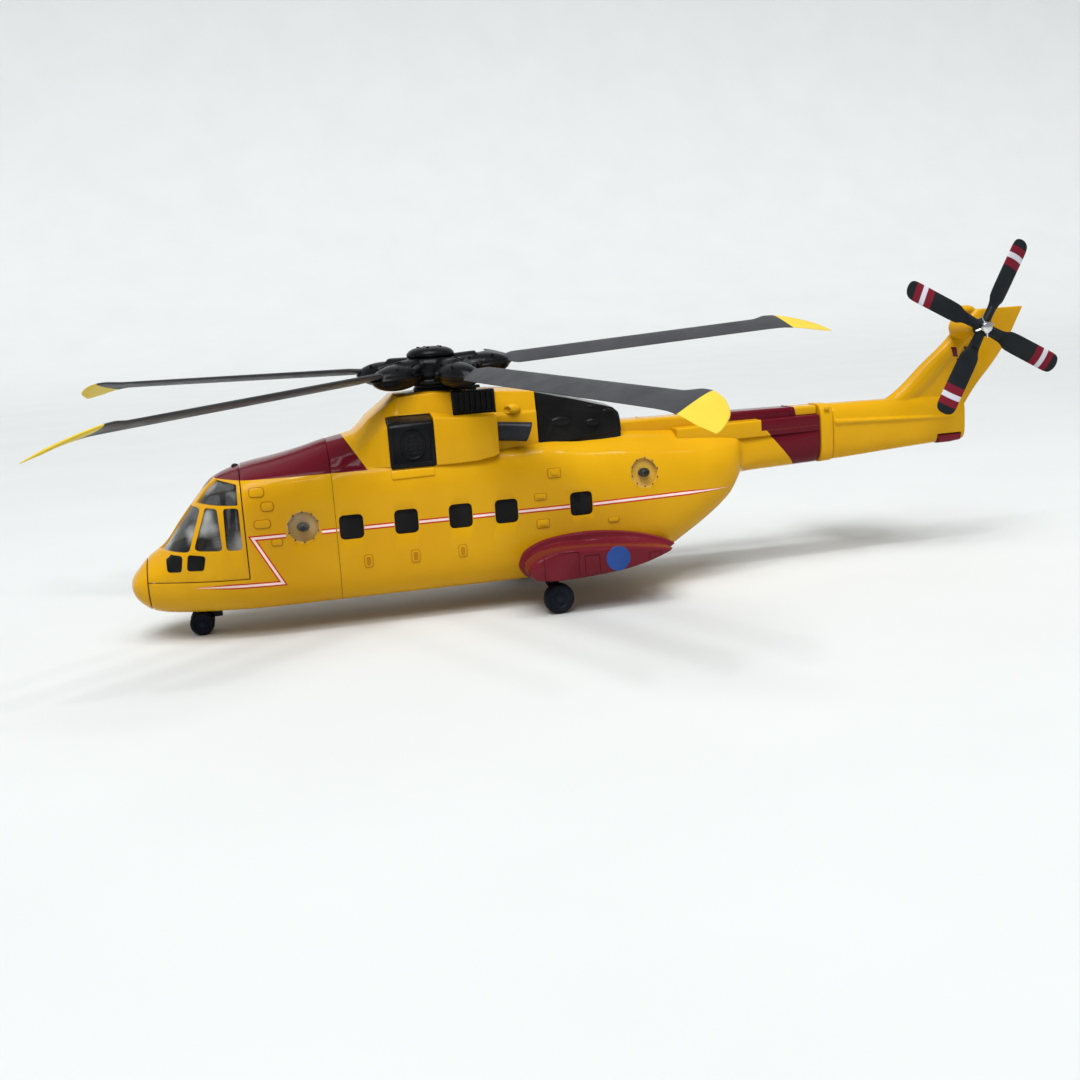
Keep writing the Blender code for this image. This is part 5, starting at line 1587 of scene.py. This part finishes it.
def make_tail_rotor():
    direction = Vector((0, 1, 0))
    centre = at(*TAIL_HUB)
    frame_here = facing(centre, direction)
    hub_profile = [
        (0, -1.5), (2.3, -1.5), (2.7, -1.1), (2.7, 0.7), (2.4, 1.1), (1.6, 1.3), (0, 1.3),
    ]
    rotor = new_object("tail_blades", turned(hub_profile, 48, frame_here), "tail_blade")
    aft, up = Vector((-1, 0, 0)), Vector((0, 0, 1))
    radii = [1.2, 3.5, 6.0, 6.8, 7.6, 8.3, 9.0, 10.0] + spread(12.0, 24.6, 2.0)
    radii += [25.6, 26.2, 26.7, 27.0, 27.25, 27.45, 27.6]
    for number in range(4):
        angle = math.radians(TAIL_PHASE + 90 * number)
        radial = aft * math.cos(angle) + up * math.sin(angle)
        pitch = Matrix.Rotation(math.radians(TAIL_PITCH), 3, radial)
        across, out = pitch @ radial.cross(direction), pitch @ direction
        rings = []
        for radius in radii:
            half = along(TAIL_BLADE, radius)
            spot = centre + radial * radius * MM
            loop = []
            for i in range(28):
                turned_by = math.tau * i / 28
                depth = 0.55 * (1.0 if radius < 24 else 1 - 0.5 * (radius - 24) / 3)
                offset = across * half * math.cos(turned_by) + out * depth * math.sin(turned_by)
                loop.append(spot + offset * MM)
            rings.append(loop)
        weld(rotor, loft(rings))
        sleeve = rod(centre + radial * 1.0 * MM, centre + radial * 6.4 * MM, 1.35, 1.2, 28)
        weld(rotor, sleeve)
    bevel(rotor, 0.1, 2, 50)
    place(rotor, "black_plastic", "tail_rotor_group", ["tail_rotor"])
    pin_profile = [
        (0, -7.0), (0.8, -7.0), (0.8, 1.2), (1.5, 1.3), (1.75, 1.6), (1.75, 2.3), (1.4, 2.75),
        (0.6, 2.9), (0, 2.9),
    ]
    pin = new_object("tail_hub_pin", turned(pin_profile, 40, frame_here), "chrome")
    parts = [pin]
    for i in range(4):
        angle = math.radians(TAIL_PHASE + 45 + 90 * i)
        radial = aft * math.cos(angle) + up * math.sin(angle)
        start = centre + (direction * 1.5 + radial * 1.2) * MM
        end = centre + (direction * 0.9 + radial * 3.1) * MM
        parts.append(new_object("arm", rod(start, end, 0.35, 0.25, 12), "chrome"))
    place(join("tail_hub_pin_full", parts), "chrome", "tail_rotor_group", ["tail_rotor_pin"])
    gear_profile = [
        (0, -12.9), (3.5, -12.9), (3.45, -9.5), (2.9, -6.5), (2.6, -4.2), (2.9, -3.9),
        (2.9, -3.2), (2.5, -2.9), (2.3, -2.2), (0, -2.2),
    ]
    gearbox = new_object("gearbox_fairing", turned(gear_profile, 48, frame_here), "livery")
    place(gearbox, "yellow_paint", stands_for=["tail_gearbox_cover"])


# Sponsons, struts and wheels.

FLANGE = (
    (-17.5, 12.3), (-17.9, 14.9), (-19.6, 17.3), (-24.8, 19.5), (-32.0, 20.5), (-41.0, 20.5),
    (-52.2, 18.7), (-61.0, 15.7), (-61.3, 14.0), (-50.0, 10.9), (-37.0, 9.2), (-26.0, 8.8),
    (-19.6, 9.6),
)
FACE = (
    (-17.9, 12.4), (-18.2, 15.0), (-21.4, 17.1), (-26.5, 18.3), (-32.5, 18.5), (-40.0, 18.2),
    (-49.5, 17.2), (-57.2, 15.9), (-57.6, 14.9), (-48.7, 11.9), (-37.2, 10.2), (-26.4, 9.9),
    (-19.8, 10.5),
)


def sponson_ring(y, face_share, spread_by):
    """One ring of the pod, between its flange's outline and its outer face's."""
    points = [Vector(a).lerp(Vector(b), face_share) for a, b in zip(FLANGE, FACE)]
    middle = Vector((-36.0, 14.0))
    loop = []
    for x, z in smooth_outline(points, 120):
        offset = Vector((x, z)) - middle
        length = offset.length
        spot = middle + offset * ((length + spread_by) / length)
        loop.append(at(spot.x, y, spot.y))
    return loop


SPONSON_RINGS = (
    (14.0, 0.0, 0.0), (18.3, 0.0, 0.0), (19.3, 0.0, 0.0), (19.8, 0.0, -0.12), (20.1, 0.0, -0.45),
    (20.2, 0.1, -1.0), (20.35, 0.3, -1.35), (20.7, 0.5, -1.25), (21.4, 0.7, -0.7), (22.6, 0.85, -0.2),
    (24.5, 1.0, 0.0), (28.6, 1.0, -0.05), (29.7, 1.0, -0.2), (30.4, 1.0, -0.55), (30.8, 1.0, -1.0),
    (31.0, 1.0, -1.7),
)


def make_sponsons():
    pod = new_object("sponson_pod_left", loft([sponson_ring(*row) for row in SPONSON_RINGS]), "maroon")
    frames = (
        ((-21.6, 17.9), (-21.6, 10.4), (-31.4, 9.6), (-31.4, 17.6)),
        ((-32.9, 16.4), (-32.9, 10.6), (-37.2, 10.8), (-37.2, 16.4)),
        ((-51.0, 15.4), (-51.0, 13.2), (-54.6, 14.2), (-54.6, 15.4)),
    )
    for outline in frames:
        groove = new_object("groove", prism(outline, 30.75, 33.0), "maroon")
        cut(groove, prism(moved_out(outline, -0.34), 30.0, 34.0))
        cut(pod, groove)
    leg_x = MAIN_WHEEL[0]
    cut(pod, rod(at(leg_x, MAIN_LEG_Y, 5), at(leg_x, MAIN_LEG_Y, 13.5), 1.7))
    shade_smoothly(pod.data, 35)
    other = mirrored(pod, "sponson_pod_right")
    place(other, "maroon_paint", stands_for=["sponson_right"])
    place(pod, "maroon_paint", stands_for=["sponson_left"])
    for side_name, side in SIDES:
        y = side * 30.98
        start, end = at(-42.3, y, 14.6), at(-42.3, y + side * 0.14, 14.6)
        disc = new_object(f"blank_disc_{side_name}", rod(start, end, 3.4, 3.3, 64), "disc")
        place(disc, "grey_plastic")


def wheel_profile(radius, half):
    outer = [
        (radius * 0.62, half - 0.5), (radius * 0.66, half - 0.12), (radius * 0.74, half),
        (radius * 0.86, half - 0.02), (radius * 0.95, half - 0.25), (radius * 0.985, half - 0.55),
        (radius, half * 0.42), (radius, 0.16), (radius - 0.16, 0.1),
    ]
    return outer + [(r, -h) for r, h in reversed(outer)]


def hub_profile(radius, half):
    return [
        (0, half + 0.15), (radius * 0.16, half + 0.15), (radius * 0.19, half - 0.15),
        (radius * 0.30, half - 0.3), (radius * 0.36, half - 0.75), (radius * 0.52, half - 0.8),
        (radius * 0.60, half - 0.35), (radius * 0.645, half - 0.3), (radius * 0.645, 0.35 - half),
        (radius * 0.3, 0.5 - half), (radius * 0.2, -half), (0, -half),
    ]


def make_wheel(name, centre, side, radius, half, body, tyre_for, hub_for):
    matrix = facing(centre, Vector((0, side, 0)))
    tyre = new_object(f"{name}_tyre", turned(wheel_profile(radius, half), 80, matrix), "tyre", 50)
    place(tyre, "tyre_black", body, tyre_for)
    parts = [new_object("disc", turned(hub_profile(radius, half), 64, matrix), "wheel_disc")]
    for i in range(8):
        spot = spoke(math.tau * i / 8) * radius * 0.44 * MM
        start = matrix @ (spot + Vector((0, 0, (half - 0.8) * MM)))
        end = matrix @ (spot + Vector((0, 0, (half - 0.5) * MM)))
        parts.append(new_object("nut", rod(start, end, 0.24, sides=6), "wheel_disc"))
    place(join(f"{name}_disc", parts), "tyre_black", body, hub_for)


def struts(rows):
    """Black rods with soft ends, from rows of (start, end, radius)."""
    parts = []
    for start, end, radius in rows:
        parts.append(bevel(new_object("strut", rod(at(*start), at(*end), radius), "black"), 0.12, 2, 40))
    return parts


def make_gear():
    for side_name, side in SIDES:
        body = f"main_wheel_group_{side_name}"
        x, out, radius = MAIN_WHEEL
        make_wheel(
            f"main_{side_name}", at(x, side * out, radius), side, radius, 1.5, body,
            [f"main_wheel_{side_name}"], [f"main_axle_{side_name}"],
        )
        y = side * MAIN_LEG_Y
        parts = struts((
            ((x, y, 14.0), (x, y, radius), 1.15),
            ((x, y, 12.5), (x, y, 8.2), 1.5),
            ((x, y - 1.5, radius), (x, y + 1.5, radius), 1.6),
            ((x + 4.0, y, 11.5), (x + 0.8, y, 6.0), 0.6),
            ((x, y, radius), (x, side * 23.8, radius), 0.8),
        ))
        strut = join(f"main_strut_{side_name}", parts)
        place(strut, "black_plastic", stands_for=[f"main_gear_leg_{side_name}"])
    x, height = NOSE_GEAR, NOSE_WHEEL_RADIUS
    for side_name, side in SIDES:
        make_wheel(
            f"nose_{side_name}", at(x, side * NOSE_WHEEL_Y, height), side, height, 1.1, "nose_wheels",
            [f"nose_wheel_{side_name}"], ["nose_axle"] if side > 0 else [],
        )
    parts = struts((
        ((x, 0, 11.2), (x, 0, height), 1.05),
        ((x, 0, 10.4), (x, 0, 5.6), 1.35),
        ((x, -1.25, height), (x, 1.25, height), 1.35),
        ((x, 0, 6.4), (x, 0, 7.4), 2.3),
        ((x - 3.6, 0, 7.6), (x - 0.6, 0, 4.6), 0.55),
    ))
    bracket = soft_box("bracket", (x - 5.6, -1.1, 4.4), (x - 2.4, 1.1, 7.4), 0.2, "black")
    parts.append(bevel(bracket, 0.12, 2, 40))
    place(join("nose_strut", parts), "black_plastic", stands_for=["nose_gear_leg"])


def finish_cad_nodes():
    """The CAD nodes that stay in view get the same detailed finishes."""
    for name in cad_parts:
        obj = bpy.data.objects.get(name)
        if obj is None or obj.hide_render:
            continue
        finish = "steel" if name.startswith("belly_screw") else "interior"
        for slot in obj.material_slots:
            slot.material = MATERIALS[finish]


def blade_material():
    shade = Shade("blade", (0.040, 0.042, 0.045), 0.42)
    drift = shade.cloud(70.0, 4.0, 0.35, 0.7)
    grey = shade.mix(drift, (0.043, 0.045, 0.049), (0.056, 0.058, 0.062))
    lemon = shade.mix(drift, (0.69, 0.52, 0.055), (0.62, 0.45, 0.04))
    tip = shade.beyond((1.0, 0.08, 0), 109.2)
    shade.color(shade.mix(shade.crisp(tip, 0.15), grey, lemon))
    shade.roughness(shade.cloud(200.0, 4.0, 0.3, 0.7, 0.34, 0.5))
    shade.bump(shade.noise(900.0, 3.0, 0.6), 0.02)
    return shade.material


def tail_blade_material():
    shade = Shade("tail_blade", (0.012, 0.014, 0.016), 0.4)
    node = shade.new("ShaderNodeVectorMath", operation="DISTANCE")
    shade.link(shade.place, node.inputs[0])
    node.inputs[1].default_value = at(*TAIL_HUB)
    radius = shade.math("MULTIPLY", node.outputs["Value"], 1 / MM)

    def band(low, high):
        past, short = shade.math("SUBTRACT", radius, low), shade.math("SUBTRACT", high, radius)
        return shade.crisp(shade.every(past, short), 0.1)

    drift = shade.cloud(90.0, 3.0, 0.35, 0.7)
    color = shade.mix(drift, (0.011, 0.013, 0.015), (0.018, 0.020, 0.022))
    color = shade.mix(band(19.0, 25.2), color, (0.16, 0.012, 0.024))
    color = shade.mix(band(21.4, 23.0), color, (0.55, 0.55, 0.60))
    shade.color(color)
    shade.roughness(shade.cloud(200.0, 4.0, 0.3, 0.7, 0.3, 0.48))
    shade.bump(shade.noise(1200.0, 3.0, 0.6), 0.015)
    return shade.material


MATERIALS = {
    "livery": livery_material(),
    # livery_shadow is a darker yellow used only as painted shadow and shade round the hatches and steps.
    "livery_shadow": paint_material("livery_shadow", (0.44, 0.19, 0.003), (0.37, 0.15, 0.002)),
    "maroon": paint_material("maroon_gloss", (0.165, 0.014, 0.024), (0.135, 0.011, 0.019)),
    "black": plastic_material("black_plastic_gloss", BLACK, 0.30, coat=0.08),
    "gloss_black": plastic_material(
        "black_pane", (0.0050, 0.0046, 0.0046), 0.20, 0.01, coat=0.08, spread=0.06
    ),
    "interior": plastic_material("interior_grey", (0.20, 0.195, 0.18), 0.5),
    "interior_dark": plastic_material("interior_dark", (0.035, 0.036, 0.04), 0.5),
    "seat": plastic_material("seat_plastic", (0.02, 0.022, 0.026), 0.45),
    "bubble_front": plastic_material("bubble_lining_beige", (0.36, 0.22, 0.06), 0.4),
    "bubble_rear": plastic_material("bubble_lining_gold", (0.46, 0.26, 0.02), 0.4),
    # The pale second colour of each glass is painted reflection in streaks.
    "glass": glass_material("clear_plastic_cockpit", (0.012, 0.013, 0.014), (0.46, 0.47, 0.46), 0.52, 0.60),
    "bubble_glass": glass_material("clear_plastic_bubble", (0.75, 0.70, 0.55), (0.9, 0.86, 0.74), 0.02, 0.08),
    "steel": metal_material("steel_pin", (0.60, 0.60, 0.61), 0.28),
    "chrome": metal_material("chrome_pin", (0.80, 0.80, 0.82), 0.14),
    "dark_metal": plastic_material("exhaust_metal", (0.018, 0.020, 0.024), 0.34, 0.03, coat=0.1),
    "tyre": plastic_material("tyre_rubber", (0.0075, 0.009, 0.013), 0.5, 0.05),
    "wheel_disc": plastic_material("wheel_plastic", (0.012, 0.016, 0.026), 0.4),
    "red_line": plastic_material("red_line", (0.42, 0.016, 0.012), 0.3, coat=0.1),
    "pale_line": plastic_material("pale_line", (0.78, 0.58, 0.52), 0.3, coat=0.1),
    "disc": plastic_material("blank_disc_blue", (0.018, 0.055, 0.22), 0.3, coat=0.1),
    "blade": blade_material(),
    "tail_blade": tail_blade_material(),
    "stage": stage_material(),
}

make_camera()
make_studio()
make_floor()
make_nose()
front_skin = make_canopy()
cabin_skins = make_cabin()
make_bubbles(front_skin, cabin_skins)
bevel(front_skin, 0.1, 2, 50)
place(front_skin, "yellow_paint", stands_for=["front_fuselage"])
for skin_side, skin in cabin_skins.items():
    bevel(skin, 0.1, 2, 50)
    place(skin, "yellow_paint", stands_for=[f"fuselage_{skin_side}"])
make_windows()
conform(
    "chin_panes", [rounded(list(outline), 0.9, 5) for outline in CHIN_PANES], 0.1,
    "gloss_black", "black_plastic", edge=0.06,
)
make_stripe()
make_roof_bump()
make_body_plates()
make_cockpit()
make_engine_cowl()
make_rear_cowl()
make_spine()
make_fold_ring()
make_tail()
make_stabiliser()
make_main_blades()
rotor_centre = Matrix.Translation(at(0, 0, ROTOR_HEIGHT))
make_hub(rotor_centre)
make_rotor_cap(rotor_centre)
make_mast(rotor_centre)
make_servos()
make_tail_rotor()
make_sponsons()
make_gear()
finish_cad_nodes()
